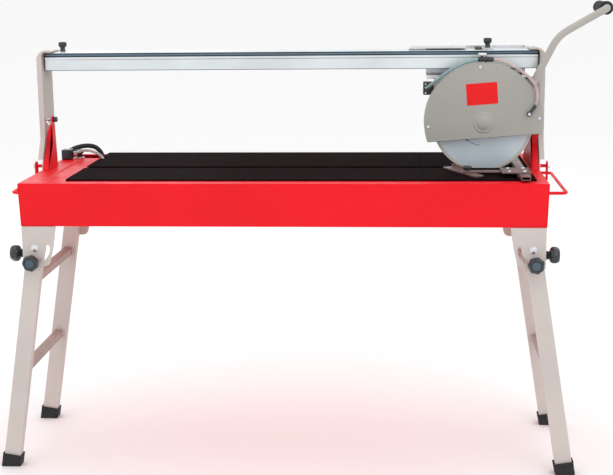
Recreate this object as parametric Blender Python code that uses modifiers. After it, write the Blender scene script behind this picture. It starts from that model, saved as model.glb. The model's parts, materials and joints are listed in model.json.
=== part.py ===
"""Wet tile saw: a water tray on folding legs, a tilting bridge rail, and a sliding saw head.

Units are metres and +Z is up. X runs along the tray, and +Y is away from the operator.
Machine coordinates have X and Y zero at the tray's middle and Z zero on the floor.
The root empty moves them so that the frame's origin is the bottom centre of the whole object.
"""
import math

import bmesh
import bpy
from mathutils import Matrix, Vector

# Tray and work table
TRAY_HALF_X = 0.6275
TRAY_HALF_Y = 0.260
RIM_Z = 0.715
TRAY_BOTTOM_Z = 0.611
TRAY_TAPER = 0.003
SHEET = 0.002
FLANGE_LEFT = 0.0125
FLANGE_RIGHT = 0.0325
FLANGE_FRONT = 0.045
FLANGE_BACK = 0.014
GAP = 0.0003
TABLE_THICKNESS = 0.004
TABLE_TOP = RIM_Z + GAP + TABLE_THICKNESS
TABLE_LEFT = -0.521
TABLE_RIGHT = 0.602
TABLE_FRONT = -0.2215
TABLE_BACK = 0.2585
SEAM_X = 0.335

# Saw head: blade plane, blade centre and guard
BLADE_Y = -0.020
BLADE_X = 0.4875
BLADE_Z = 0.834
BLADE_R = 0.125
SLOT_HALF = 0.014
GUARD_R = 0.146
GUARD_FLAT = 0.037
GUARD_ROLL = math.radians(4.3)
GUARD_FRONT = BLADE_Y - 0.0303
GUARD_REAR = BLADE_Y + 0.018
PLUNGE_X = 0.395
PLUNGE_Z = 0.925

# Tilting gantry
TILT_Y = BLADE_Y
TILT_Z = 0.7225
CLAMP_Y = 0.016
CLAMP_Z = 0.838
TILT_RANGE = math.radians(45)
WEB_IN = 0.628
WEB = 0.003
POST_FLANGE = 0.010
POST_FRONT = 0.002
POST_BACK = 0.100
RAIL_HALF = 0.6235
RAIL_FRONT = 0.0185
RAIL_BACK = 0.090
RAIL_LOW = 0.962
RAIL_TOP = 1.008
LOCK_Y = 0.0340

# Folding legs
LEAN = math.radians(9.2)
PIVOT_X = 0.594
PIVOT_Z = 0.558
LEG_W = 0.040
LEG_D = 0.025
LEG_WALL = 0.0015
FRONT_LEG_Y = -0.246
REAR_LEG_Y = 0.108
STUD_R = 0.0325
LEG_LENGTH = PIVOT_Z / math.cos(LEAN)

# Handle
HANDLE_R = 0.009
HANDLE_Y = -0.027
GRIP_X = 0.783
GRIP_Z = 1.109
GRIP_R = 0.0165
GRIP_END = 0.112

# Extremes of the whole object, which place the frame's origin
KNOB_R = 0.0205
KNOB_DEPTH = 0.034
BOOT_W = 0.047
BOOT_D = 0.032
X_MIN = -(PIVOT_X + PIVOT_Z * math.tan(LEAN) + 0.5 * BOOT_W / math.cos(LEAN))
X_MAX = GRIP_X + GRIP_R
Y_MIN = FRONT_LEG_Y - 0.5 * LEG_D - GAP - 0.003 - 0.0005 - KNOB_DEPTH
Y_MAX = TRAY_HALF_Y

PARTS = None
SCRAP = None
MATERIALS = {}

COLOURS = {
    "red_paint": ((0.72, 0.02, 0.03), 0.35, 0.0),
    "grey_paint": ((0.52, 0.50, 0.47), 0.45, 0.0),
    "guard_paint": ((0.42, 0.42, 0.39), 0.5, 0.0),
    "aluminium": ((0.74, 0.78, 0.80), 0.35, 0.9),
    "zinc": ((0.6, 0.61, 0.62), 0.35, 0.9),
    "motor_paint": ((0.05, 0.052, 0.055), 0.5, 0.0),
    "steel": ((0.62, 0.66, 0.7), 0.3, 1.0),
    "table_black": ((0.02, 0.018, 0.02), 0.2, 0.0),
    "black_plastic": ((0.02, 0.022, 0.026), 0.4, 0.0),
    "black_rubber": ((0.025, 0.025, 0.025), 0.7, 0.0),
    "clear_hose": ((0.55, 0.66, 0.66), 0.2, 0.0),
    "fence_metal": ((0.5, 0.42, 0.38), 0.4, 0.8),
}


# ---------------------------------------------------------------- scene and materials

def clear_scene():
    for obj in list(bpy.data.objects):
        bpy.data.objects.remove(obj, do_unlink=True)


def new_collection(name):
    group = bpy.data.collections.new(name)
    bpy.context.scene.collection.children.link(group)
    return group


def make_materials():
    for name, (colour, roughness, metallic) in COLOURS.items():
        mat = bpy.data.materials.new(name)
        mat.use_nodes = True
        shader = mat.node_tree.nodes["Principled BSDF"]
        shader.inputs["Base Color"].default_value = (*colour, 1.0)
        shader.inputs["Roughness"].default_value = roughness
        shader.inputs["Metallic"].default_value = metallic
        mat.diffuse_color = (*colour, 1.0)
        MATERIALS[name] = mat


def joint_frame(name, location, parent):
    """An empty on a joint's axis, at a place given in machine coordinates."""
    empty = bpy.data.objects.new(name, None)
    empty.empty_display_size = 0.05
    SCRAP.objects.link(empty)
    bpy.context.view_layer.update()
    empty.parent = parent
    empty.matrix_world = ROOT_MATRIX @ Matrix.Translation(location)
    bpy.context.view_layer.update()
    return empty


def attach(obj, frame, material):
    """Give a finished piece its material and hang it on its joint's empty."""
    obj.data.materials.clear()
    obj.data.materials.append(MATERIALS[material])
    world = ROOT_MATRIX @ obj.matrix_basis
    obj.parent = frame
    obj.matrix_world = world
    bpy.context.view_layer.update()
    return obj


# ---------------------------------------------------------------- modelling helpers

def from_bmesh(name, bm):
    mesh = bpy.data.meshes.new(name)
    bm.to_mesh(mesh)
    bm.free()
    obj = bpy.data.objects.new(name, mesh)
    PARTS.objects.link(obj)
    return obj


def box(low, high, name="block"):
    bm = bmesh.new()
    size = [h - l for l, h in zip(low, high)]
    middle = [0.5 * (l + h) for l, h in zip(low, high)]
    place = Matrix.Translation(middle) @ Matrix.Diagonal((*size, 1.0))
    bmesh.ops.create_cube(bm, size=1.0, matrix=place)
    return from_bmesh(name, bm)


def rounded(obj, width):
    """Round every edge of a solid."""
    bevel = obj.modifiers.new("edges", "BEVEL")
    bevel.width = width
    bevel.segments = 2
    return to_mesh(obj)


def rod(start, end, radius, sides=16, name="rod", end_radius=None):
    start, end = Vector(start), Vector(end)
    along = end - start
    turn = along.to_track_quat("Z", "Y").to_matrix().to_4x4()
    place = Matrix.Translation(0.5 * (start + end)) @ turn
    last = radius if end_radius is None else end_radius
    bm = bmesh.new()
    bmesh.ops.create_cone(bm, cap_ends=True, segments=sides, radius1=radius, radius2=last,
                          depth=along.length, matrix=place)
    return from_bmesh(name, bm)


def arc(cx, cy, radius, first, last, steps):
    """Points round an arc, with its angles in degrees."""
    points = []
    for i in range(steps + 1):
        angle = math.radians(first + (last - first) * i / steps)
        points.append((cx + radius * math.cos(angle), cy + radius * math.sin(angle)))
    return points


def arc_slot(cx, cy, radius, half_width, first, last, steps=10):
    """Outline of a slot with round ends that follows an arc."""
    a, b = math.radians(first), math.radians(last)
    outer = arc(cx, cy, radius + half_width, first, last, steps)
    inner = arc(cx, cy, radius - half_width, last, first, steps)
    end_b = arc(cx + radius * math.cos(b), cy + radius * math.sin(b), half_width,
                last, last + 180, 6)[1:-1]
    end_a = arc(cx + radius * math.cos(a), cy + radius * math.sin(a), half_width,
                first + 180, first + 360, 6)[1:-1]
    return outer + end_b + inner + end_a


PLANES = {
    "XZ": Matrix(((1, 0, 0), (0, 0, -1), (0, 1, 0))).to_4x4(),
    "YZ": Matrix(((0, 0, 1), (1, 0, 0), (0, 1, 0))).to_4x4(),
    "XY": Matrix.Identity(4),
}


def plate(outline, low, high, plane, holes=(), name="plate"):
    """A flat sheet with holes: the outline lies in a plane, between two heights across it."""
    curve = bpy.data.curves.new(name, "CURVE")
    curve.dimensions = "2D"
    curve.fill_mode = "BOTH"
    curve.extrude = 0.5 * (high - low)
    for ring in (outline, *holes):
        spline = curve.splines.new("POLY")
        spline.points.add(len(ring) - 1)
        for point, (u, v) in zip(spline.points, ring):
            point.co = (u, v, 0.0, 1.0)
        spline.use_cyclic_u = True
    middle = 0.5 * (low + high)
    across = {"XZ": (0, middle, 0), "YZ": (middle, 0, 0), "XY": (0, 0, middle)}[plane]
    shape = bpy.data.objects.new(name, curve)
    shape.matrix_basis = Matrix.Translation(across) @ PLANES[plane]
    SCRAP.objects.link(shape)
    return to_mesh(shape)


def to_mesh(shape):
    """Turn a curve object, or an object with modifiers, into one welded mesh object."""
    bpy.context.view_layer.update()
    graph = bpy.context.evaluated_depsgraph_get()
    mesh = bpy.data.meshes.new_from_object(shape.evaluated_get(graph))
    bm = bmesh.new()
    bm.from_mesh(mesh)
    bmesh.ops.remove_doubles(bm, verts=bm.verts, dist=1e-6)
    bm.transform(shape.matrix_world)
    bmesh.ops.recalc_face_normals(bm, faces=bm.faces)
    if bm.calc_volume(signed=True) < 0:
        bmesh.ops.reverse_faces(bm, faces=bm.faces)
    name = shape.name
    bpy.data.objects.remove(shape, do_unlink=True)
    bpy.data.meshes.remove(mesh)
    return from_bmesh(name, bm)


def sweep(points, radius, name="tube", resolution=3):
    """A round tube along a chain of points."""
    curve = bpy.data.curves.new(name, "CURVE")
    curve.dimensions = "3D"
    curve.bevel_depth = radius
    curve.bevel_resolution = resolution
    curve.use_fill_caps = True
    spline = curve.splines.new("POLY")
    spline.points.add(len(points) - 1)
    for point, place in zip(spline.points, points):
        point.co = (*place, 1.0)
    shape = bpy.data.objects.new(name, curve)
    SCRAP.objects.link(shape)
    return to_mesh(shape)


def smooth_route(points, steps):
    """Points along a Catmull-Rom curve through a hand-placed route."""
    route = [Vector(p) for p in points]
    ends = [2 * route[0] - route[1]] + route + [2 * route[-1] - route[-2]]
    result = []
    for i in range(1, len(ends) - 2):
        a, b, c, d = ends[i - 1:i + 3]
        for k in range(steps):
            t = k / steps
            result.append(0.5 * (2 * b + (c - a) * t + (2 * a - 5 * b + 4 * c - d) * t ** 2
                                 + (3 * b - a - 3 * c + d) * t ** 3))
    result.append(route[-1])
    return result


def turned(profile, centre, axis, steps=32, name="turned"):
    """A solid of revolution. The profile is (radius, height) pairs from the top down."""
    bm = bmesh.new()
    verts = [bm.verts.new((radius, 0.0, height)) for radius, height in profile]
    for a, b in zip(verts, verts[1:]):
        bm.edges.new((a, b))
    obj = from_bmesh(name, bm)
    screw = obj.modifiers.new("turn", "SCREW")
    screw.steps = steps
    screw.render_steps = steps
    screw.use_merge_vertices = True
    screw.merge_threshold = 0.00001
    turn = Vector(axis).to_track_quat("Z", "Y").to_matrix().to_4x4()
    obj.matrix_basis = Matrix.Translation(centre) @ turn
    return to_mesh(obj)


def combine(operation, target, tools):
    """Join tools onto a solid, cut them out of it, or keep only what they share."""
    for tool in tools:
        step = target.modifiers.new("step", "BOOLEAN")
        step.operation = operation
        step.solver = "EXACT"
        step.object = tool
        bpy.context.view_layer.update()
        graph = bpy.context.evaluated_depsgraph_get()
        mesh = bpy.data.meshes.new_from_object(target.evaluated_get(graph))
        target.modifiers.remove(step)
        old = target.data
        target.data = mesh
        bpy.data.meshes.remove(old)
        bpy.data.objects.remove(tool, do_unlink=True)
    return target


def fuse(target, *tools):
    return combine("UNION", target, tools)


def cut(target, *tools):
    return combine("DIFFERENCE", target, tools)


def keep_common(target, *tools):
    return combine("INTERSECT", target, tools)


def moved(obj, matrix):
    obj.data.transform(matrix)
    if matrix.determinant() < 0:
        obj.data.flip_normals()
    return obj


def mirrored(obj, side):
    """Left-hand pieces are the right-hand ones reflected in X."""
    if side > 0:
        return obj
    return moved(obj, Matrix.Diagonal((-1, 1, 1, 1)))


def named(obj, name):
    obj.name = name
    obj.data.name = name
    for face in obj.data.polygons:
        face.use_smooth = True
    obj.data.set_sharp_from_angle(angle=math.radians(35))
    return obj


def side_name(side):
    return "right" if side > 0 else "left"


# ---------------------------------------------------------------- tray, deck and table

def make_tray(frame):
    """A folded sheet pan with an inturned top flange and two lugs that carry the tilt pivots."""
    rings = (
        (TRAY_BOTTOM_Z, -TRAY_HALF_X + TRAY_TAPER, TRAY_HALF_X - TRAY_TAPER,
         -TRAY_HALF_Y + TRAY_TAPER, TRAY_HALF_Y - TRAY_TAPER),
        (RIM_Z, -TRAY_HALF_X, TRAY_HALF_X, -TRAY_HALF_Y, TRAY_HALF_Y),
        (RIM_Z, -TRAY_HALF_X + FLANGE_LEFT, TRAY_HALF_X - FLANGE_RIGHT,
         -TRAY_HALF_Y + FLANGE_FRONT, TRAY_HALF_Y - FLANGE_BACK),
    )
    bm = bmesh.new()
    loops = []
    for z, x0, x1, y0, y1 in rings:
        corners = ((x0, y0), (x1, y0), (x1, y1), (x0, y1))
        loops.append([bm.verts.new((x, y, z)) for x, y in corners])
    bm.faces.new(list(reversed(loops[0])))
    for lower, upper in zip(loops, loops[1:]):
        for i in range(4):
            k = (i + 1) % 4
            bm.faces.new((lower[i], lower[k], upper[k], upper[i]))
    pan = from_bmesh("tray", bm)
    skin = pan.modifiers.new("sheet", "SOLIDIFY")
    skin.thickness = SHEET
    skin.offset = -1
    skin.use_even_offset = True
    pan = to_mesh(pan)
    for side in (-1, 1):
        shelf = box((0.626, TILT_Y - 0.018, 0.689), (0.650, TILT_Y + 0.018, 0.692))
        ear_outline = [(TILT_Y - 0.012, 0.6895), (TILT_Y + 0.012, 0.6895)]
        ear_outline += arc(TILT_Y, TILT_Z, 0.012, 0, 180, 12)
        ear = plate(ear_outline, 0.647, 0.650, "YZ")
        pin = rod((0.6135, TILT_Y, TILT_Z), (0.652, TILT_Y, TILT_Z), 0.0042)
        lug = fuse(ear, shelf, pin)
        fuse(pan, mirrored(lug, side))
    return attach(named(pan, "tray"), frame, "red_paint")


def make_left_deck(frame):
    """The stepped sheet that covers the tray's left end, with a lip down its inner edge."""
    y0, y1 = -TRAY_HALF_Y + FLANGE_FRONT + GAP, 0.205
    x0, x1 = -TRAY_HALF_X + FLANGE_LEFT + GAP, TABLE_LEFT - 0.0025
    top, low = RIM_Z - GAP, RIM_Z - 0.0045
    line = [(x0, top), (-0.5800, top), (-0.5765, low), (x1, low), (x1, 0.690)]
    under = [(x1 - SHEET, 0.690), (x1 - SHEET, low - SHEET), (-0.5770, low - SHEET),
             (-0.5805, top - SHEET), (x0, top - SHEET)]
    deck = plate(line + under, y0, y1, "XZ")
    return attach(named(deck, "left_deck"), frame, "red_paint")


def make_tables(frame):
    """Two black plates on the tray's flange, with the blade slot between them."""
    low, high = RIM_Z + GAP, TABLE_TOP
    front = box((TABLE_LEFT, TABLE_FRONT, low), (TABLE_RIGHT, BLADE_Y - SLOT_HALF, high))
    rear = box((TABLE_LEFT, BLADE_Y + SLOT_HALF, low), (TABLE_RIGHT, TABLE_BACK, high))
    for table in (front, rear):
        cut(table, box((SEAM_X - 0.0005, -0.3, high - 0.001), (SEAM_X + 0.0005, 0.3, high + 0.01)))
    cut(rear, box((TABLE_LEFT - 0.01, 0.136, low - 0.01), (TABLE_LEFT + 0.017, 0.162, high + 0.01)))
    attach(named(front, "table_front"), frame, "table_black")
    attach(named(rear, "table_rear"), frame, "table_black")


def make_carry_handle(side, frame):
    """A round steel rod bent to a flat loop and welded to the tray's end wall."""
    z, reach, bend = 0.668, 0.688, 0.012
    wall = TRAY_HALF_X - TRAY_TAPER * (RIM_Z - z) / (RIM_Z - TRAY_BOTTOM_Z) + GAP + 0.0001
    front, back = -0.110, 0.220
    corner_front = arc(reach - bend, front + bend, bend, 270, 360, 5)
    corner_back = arc(reach - bend, back - bend, bend, 0, 90, 5)
    line = [(wall, front)] + corner_front + corner_back + [(wall, back)]
    loop = sweep([(x, y, z) for x, y in line], 0.004)
    return attach(named(mirrored(loop, side), "carry_handle_" + side_name(side)), frame, "red_paint")


def make_tilt_bracket(side, frame):
    """An upright on the tray's rim that holds the tilt clamp, with a bent front edge."""
    base = RIM_Z + GAP
    rear_foot = 0.185 if side > 0 else 0.040
    outline = [(-0.045, base), (rear_foot, base), (rear_foot, base + 0.006)]
    outline += [(0.030, 0.812)] + arc(CLAMP_Y, CLAMP_Z, 0.0095, 0, 180, 10) + [(0.004, 0.775)]
    bolt_hole = arc(CLAMP_Y, CLAMP_Z, 0.0043, 0, 330, 11)
    pin_hole = arc(TILT_Y, TILT_Z, 0.0047, 0, 330, 11)
    web = plate(outline, 0.6085, 0.6115, "YZ", holes=(bolt_hole, pin_hole))
    flange_top = 0.826
    flange_line = [(-0.0450, base), (-0.0425, base), (0.0065, 0.775), (0.0065, flange_top),
                   (0.0040, flange_top), (0.0040, 0.776)]
    flange = plate(flange_line, 0.6105, 0.6262, "YZ")
    cut(flange, plate([(0.6140, flange_top + 0.005), (0.6280, flange_top + 0.005), (0.6280, 0.786)],
                      -0.010, 0.020, "XZ"))
    foot = box((0.6105, -0.0425, base), (0.6262, rear_foot - 0.002, base + 0.0025))
    bracket = fuse(web, flange, foot)
    cut(bracket, rod((0.600, TILT_Y, TILT_Z), (0.640, TILT_Y, TILT_Z), 0.0047))
    return attach(named(mirrored(bracket, side), "tilt_bracket_" + side_name(side)), frame, "red_paint")


# ---------------------------------------------------------------- legs

def leg_matrix(side, y):
    """Place a leg: its own origin is the fold pivot, and it hangs down and outwards."""
    return Matrix.Translation((side * PIVOT_X, y, PIVOT_Z)) @ Matrix.Rotation(-side * LEAN, 4, "Y")


def make_leg_bracket(side, end, frame):
    """A plate under the tray with the fold pivot, and a slot for the lock's stud at the front."""
    front = end == "front"
    leg_y = FRONT_LEG_Y if front else REAR_LEG_Y
    out = -1 if front else 1
    face = leg_y + out * (0.5 * LEG_D + GAP)
    low, high = sorted((face, face + out * 0.003))
    top = TRAY_BOTTOM_Z - GAP
    outline = [(0.6237, top), (0.540, top), (0.5485, 0.558)]
    outline += arc(0.571, 0.529, 0.015, 180, 270, 5) + [(0.6237, 0.514)]
    holes = []
    if front:
        lean = math.degrees(LEAN)
        holes.append(arc_slot(PIVOT_X, PIVOT_Z, STUD_R, 0.0045, 174, 272 + lean))
    sheet = plate(outline, low, high, "XZ", holes=holes)
    side_low = 0.518 if front else 0.560
    inner, outer = sorted((face - out * (LEG_D - 0.002), face + out * 0.001))
    flange = box((0.6217, inner, side_low), (0.6237, outer, top))
    tab_low, tab_high = sorted((face + out * 0.001, face - out * 0.018))
    tab = box((0.545, tab_low, top - 0.003), (0.6230, tab_high, top))
    head = rod((PIVOT_X, face + out * 0.002, PIVOT_Z), (PIVOT_X, face + out * 0.0065, PIVOT_Z), 0.0075,
               end_radius=0.0050)
    shank = rod((PIVOT_X, face + out * 0.001, PIVOT_Z),
                (PIVOT_X, face - out * (LEG_D + 0.002), PIVOT_Z), 0.0048)
    keeper = rod((PIVOT_X, face - out * (LEG_D + 2 * GAP), PIVOT_Z),
                 (PIVOT_X, face - out * (LEG_D + 0.0035), PIVOT_Z), 0.0080)
    bracket = fuse(sheet, flange, tab, head, shank, keeper)
    if front:
        cut(bracket, rod((0.60, leg_y, 0.543), (0.64, leg_y, 0.543), 0.0045))
    name = "leg_bracket_" + end + "_" + side_name(side)
    return attach(named(mirrored(bracket, side), name), frame, "grey_paint")


def make_leg(side, end, frame):
    """A hollow rectangular leg with a round top, bored for the pivot and the lock's stud."""
    bottom = -(LEG_LENGTH - 0.016)
    half = 0.5 * LEG_W
    outline = arc(0, 0, half, 0, 180, 12) + [(-half, bottom), (half, bottom)]
    leg = plate(outline, -0.5 * LEG_D, 0.5 * LEG_D, "XZ")
    inner = half - LEG_WALL
    hollow = arc(0, 0, inner, 0, 180, 12) + [(-inner, bottom - 0.01), (inner, bottom - 0.01)]
    cut(leg, plate(hollow, -0.5 * LEG_D + LEG_WALL, 0.5 * LEG_D - LEG_WALL, "XZ"))
    cut(leg, rod((0, -0.02, 0), (0, 0.02, 0), 0.0051))
    if end == "front":
        cut(leg, rod((0, -0.02, -STUD_R), (0, -0.005, -STUD_R), 0.0043))
    y = FRONT_LEG_Y if end == "front" else REAR_LEG_Y
    moved(leg, leg_matrix(side, y))
    return attach(named(leg, "leg_" + end + "_" + side_name(side)), frame, "grey_paint")


def make_cross_bar(side, level, drop, frame):
    """A square tube across the leg frame, between the two legs' facing sides."""
    half, wall = 0.010, 0.0015
    front = FRONT_LEG_Y + 0.5 * LEG_D + GAP
    back = REAR_LEG_Y - 0.5 * LEG_D - GAP
    ring = [(-half, -drop - half), (half, -drop - half), (half, -drop + half), (-half, -drop + half)]
    core = half - wall
    bore = [(-core, -drop - core), (core, -drop - core), (core, -drop + core), (-core, -drop + core)]
    bar = plate(ring, front, back, "XZ", holes=(bore,))
    moved(bar, leg_matrix(side, 0.0))
    return attach(named(bar, "cross_bar_" + level + "_" + side_name(side)), frame, "grey_paint")


def make_foot(side, end, frame):
    """A rubber boot over the leg's end, cut level with the floor."""
    low, high = -(LEG_LENGTH + 0.01), -(LEG_LENGTH - 0.031)
    half_w, half_d = 0.5 * BOOT_W, 0.5 * BOOT_D
    boot = box((-half_w, -half_d, low), (half_w, half_d, high))
    pocket_w, pocket_d = 0.5 * LEG_W + GAP, 0.5 * LEG_D + GAP
    floor = -(LEG_LENGTH - 0.016) - GAP
    cut(boot, box((-pocket_w, -pocket_d, floor), (pocket_w, pocket_d, high + 0.01)))
    y = FRONT_LEG_Y if end == "front" else REAR_LEG_Y
    moved(boot, leg_matrix(side, y))
    keep_common(boot, box((-1, -1, 0), (1, 1, 0.2)))
    return attach(named(boot, "foot_" + end + "_" + side_name(side)), frame, "black_rubber")


def knob_profile(radius, depth, collar):
    """Mushroom knob: (radius, height) pairs from its crown down to its foot."""
    return [(0.0, depth), (0.78 * radius, depth - 0.0030), (radius, depth - 0.010),
            (radius, depth - 0.017), (0.86 * radius, depth - 0.022), (0.58 * radius, collar + 0.002),
            (0.58 * radius, 0.0)]


def stud_knob(radius, depth, collar, stud_r, stud_length, centre, axis):
    profile = knob_profile(radius, depth, collar)
    profile += [(stud_r, 0.0), (stud_r, -stud_length), (0.0, -stud_length)]
    return turned(profile, centre, axis, steps=18)


def make_leg_lock(side, frame):
    """The lock knob on the leg's front: its stud runs through the bracket's arc slot."""
    spot = leg_matrix(side, 0.0) @ Vector((0, 0, -STUD_R))
    face = FRONT_LEG_Y - 0.5 * LEG_D - GAP - 0.003 - 0.0005
    knob = stud_knob(KNOB_R, KNOB_DEPTH, 0.006, 0.0038, 0.011, (spot.x, face, spot.z), (0, -1, 0))
    return attach(named(knob, "leg_lock_knob_" + side_name(side)), frame, "black_plastic")


def make_side_knob(side, frame):
    """The second clamp knob, on the bracket's outer side."""
    start = 0.6237 + 0.0004
    knob = stud_knob(KNOB_R, 0.0325, 0.008, 0.0040, 0.0055, (start, FRONT_LEG_Y, 0.543), (1, 0, 0))
    return attach(named(mirrored(knob, side), "side_knob_" + side_name(side)), frame, "black_plastic")


# ---------------------------------------------------------------- gantry

def make_post(side, frame):
    """A channel upright: pivot eye at the foot, clamp slot in the web, top bent over the rail."""
    slot_angle = math.degrees(math.atan2(CLAMP_Z - TILT_Z, CLAMP_Y - TILT_Y))
    slot_r = math.hypot(CLAMP_Z - TILT_Z, CLAMP_Y - TILT_Y)
    slot_low = slot_angle - math.degrees(TILT_RANGE)
    outline = arc(TILT_Y, TILT_Z, 0.012, 180, 290, 8) + [(0.060, 0.738), (POST_BACK, 0.768)]
    outline += [(POST_BACK, 0.9980), (POST_FRONT, 0.9980), (POST_FRONT, 0.795)]
    slot = arc_slot(TILT_Y, TILT_Z, slot_r, 0.0046, slot_low - 0.6, slot_angle + 0.6, 14)
    eye = arc(TILT_Y, TILT_Z, 0.0046, 0, 330, 11)
    web = plate(outline, WEB_IN + 0.0002, WEB_IN + WEB - 0.0002, "YZ", holes=(slot, eye))
    bend_x, bend_z, bend_r = WEB_IN + WEB - 0.012, 1.0005, 0.012
    bend_out = arc(bend_x, bend_z, bend_r, 0, 90, 7)
    bend_in = arc(bend_x, bend_z, bend_r - WEB, 90, 0, 7)
    profile = [(WEB_IN + WEB, 0.995)] + bend_out + [(0.602, bend_z + bend_r)]
    profile += [(0.602, bend_z + bend_r - WEB)] + bend_in + [(WEB_IN, 0.995)]
    top = plate(profile, POST_FRONT + 0.0004, POST_BACK - 0.0002, "XZ")
    edge = WEB_IN + WEB + POST_FLANGE
    corner = arc(edge - 0.025, 0.990, 0.025, 0, 90, 8)
    strip = [(WEB_IN + 0.001, 0.790), (edge, 0.790)] + corner
    strip += [(0.606, 1.015), (0.606, 1.0112)] + arc(bend_x, bend_z, bend_r - 0.001, 90, 0, 5)
    strip += [(WEB_IN + 0.001, 0.99)]
    flange = plate(strip, POST_FRONT, POST_FRONT + 0.003, "XZ")
    lower = plate([(POST_FRONT, 0.791), (POST_FRONT, 0.797), (POST_FRONT + 0.003, 0.795),
                   (-0.0260, 0.7395), (-0.0290, 0.7395)], WEB_IN + 0.001, edge, "YZ")
    spacer = box((RAIL_HALF + GAP, 0.035, 0.972), (WEB_IN + 0.001, 0.075, 0.996))
    post = fuse(web, top, flange, lower, spacer)
    return attach(named(mirrored(post, side), "post_" + side_name(side)), frame, "grey_paint")


def make_rail(frame):
    """A hollow aluminium bridge with a raised lip and a running groove along its front."""
    face = RAIL_FRONT + 0.0015
    groove = RAIL_FRONT + 0.0060
    ring = [(face, RAIL_LOW), (face, 0.9895), (RAIL_FRONT, 0.9905), (RAIL_FRONT, 0.9960),
            (groove, 0.9985), (groove, 1.0035), (face, 1.0060), (face + 0.0015, RAIL_TOP),
            (RAIL_BACK - 0.002, RAIL_TOP), (RAIL_BACK, 1.006), (RAIL_BACK, 0.9890),
            (RAIL_BACK - 0.005, 0.9870), (RAIL_BACK - 0.005, 0.9810), (RAIL_BACK, 0.9790),
            (RAIL_BACK, RAIL_LOW + 0.002), (RAIL_BACK - 0.002, RAIL_LOW)]
    bore = [(0.0235, 0.9655), (0.0805, 0.9655), (0.0805, 1.0045), (0.0285, 1.0045), (0.0285, 0.9955),
            (0.0235, 0.9930)]
    rail = plate(ring, -RAIL_HALF, RAIL_HALF, "YZ", holes=(bore,))
    return attach(named(rail, "rail"), frame, "aluminium")


def fluted_knob(radius, height, neck, centre, flutes=7):
    """A waisted hand knob whose crown has round flutes down its side."""
    profile = [(0.0, height), (0.75 * radius, height), (radius, height - 0.0025),
               (radius, 0.55 * height), (neck, 0.36 * height), (neck, 0.14 * height),
               (1.15 * neck, 0.0), (0.0, 0.0)]
    knob = turned(profile, centre, (0, 0, 1), steps=21)
    for i in range(flutes):
        angle = 2 * math.pi * i / flutes
        x = centre[0] + 1.18 * radius * math.cos(angle)
        y = centre[1] + 1.18 * radius * math.sin(angle)
        cut(knob, rod((x, y, centre[2] + 0.50 * height), (x, y, centre[2] + 1.2 * height),
                      0.30 * radius, sides=8))
    return knob


def make_stop_knob(frame):
    """The knob at the rail's left end, which stops the carriage there."""
    knob = fluted_knob(0.0105, 0.025, 0.0060, (-0.585, 0.055, RAIL_TOP + GAP))
    return attach(named(knob, "rail_stop_knob"), frame, "black_plastic")


def make_tilt_clamp(side, frame):
    """A hand bolt along X through the bracket and the post's slot, with a nut outside."""
    head = turned([(0.0, 0.0), (0.0060, 0.0), (0.0068, -0.0012), (0.0068, -0.0100), (0.0040, -0.0100),
                   (0.0040, -0.0333), (0.0078, -0.0333), (0.0078, -0.0393), (0.0, -0.0393)],
                  (0.5980, CLAMP_Y, CLAMP_Z), (-1, 0, 0), steps=18)
    return attach(named(mirrored(head, side), "tilt_clamp_" + side_name(side)), frame, "black_plastic")


# ---------------------------------------------------------------- carriage

def make_carriage(frame):
    """Zinc plates wrapped behind and under the rail, with the ears that carry the saw head."""
    left, right = 0.303, 0.600
    rear = box((0.348, RAIL_BACK + 0.002, 0.9435), (right, RAIL_BACK + 0.006, 1.0155))
    under = box((0.348, 0.0140, 0.9435), (right, RAIL_BACK + 0.006, 0.9462))
    lip = box((0.348, 0.0140, 0.9365), (0.3750, 0.0170, 0.9460))
    slope = [(left, 1.0120), (0.4460, 1.0120), (0.4460, 1.0155), (left + 0.008, 1.0155)]
    top = plate(slope, 0.0200, RAIL_BACK + 0.006, "XZ")
    tab = box((0.4860, 0.0220, 1.0085), (0.5140, RAIL_BACK + 0.005, 1.0115))
    pieces = [under, lip, top, tab]
    for low, high in ((0.0140, 0.0165), (0.0505, 0.0545)):
        outline = [(0.378, 0.9440), (0.378, 0.9250)] + arc(PLUNGE_X, PLUNGE_Z, 0.017, 180, 360, 12)
        outline += [(0.412, 0.9440)]
        hole = arc(PLUNGE_X, PLUNGE_Z, 0.0053, 0, 330, 11)
        pieces.append(plate(outline, low, high, "XZ", holes=(hole,)))
    for x in (0.420, 0.560):
        pieces.append(rod((x, 0.0590, 0.9543), (x, RAIL_BACK + 0.004, 0.9543), 0.0030, sides=16))
    carriage = fuse(rear, *pieces)
    return attach(named(carriage, "carriage_frame"), frame, "zinc")


def make_roller(label, x, frame):
    """A grooved roller that runs along the rail's under side."""
    profile = [(0.0032, 0.0080), (0.0070, 0.0080), (0.0074, 0.0070), (0.0074, -0.0070), (0.0070, -0.0080),
               (0.0032, -0.0080), (0.0032, 0.0080)]
    roller = turned(profile, (x, 0.0700, 0.9543), (0, 1, 0), steps=24)
    return attach(named(roller, "roller_" + label), frame, "black_plastic")


def make_carriage_lock(frame):
    """The knob that clamps the carriage to the rail, on a small plate from the rear."""
    knob = fluted_knob(0.0105, 0.025, 0.0060, (0.500, LOCK_Y, 1.0118))
    return attach(named(knob, "carriage_lock_knob"), frame, "black_plastic")


# ---------------------------------------------------------------- saw head

def guard_outline(radius, steps=36):
    """The guard's circular segment with its flat mouth, rolled a little about the blade's axis."""
    dip = math.degrees(math.asin(GUARD_FLAT / GUARD_R))
    roll = math.degrees(GUARD_ROLL)
    return arc(BLADE_X, BLADE_Z, radius, -dip + roll, 180 + dip + roll, steps)


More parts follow.
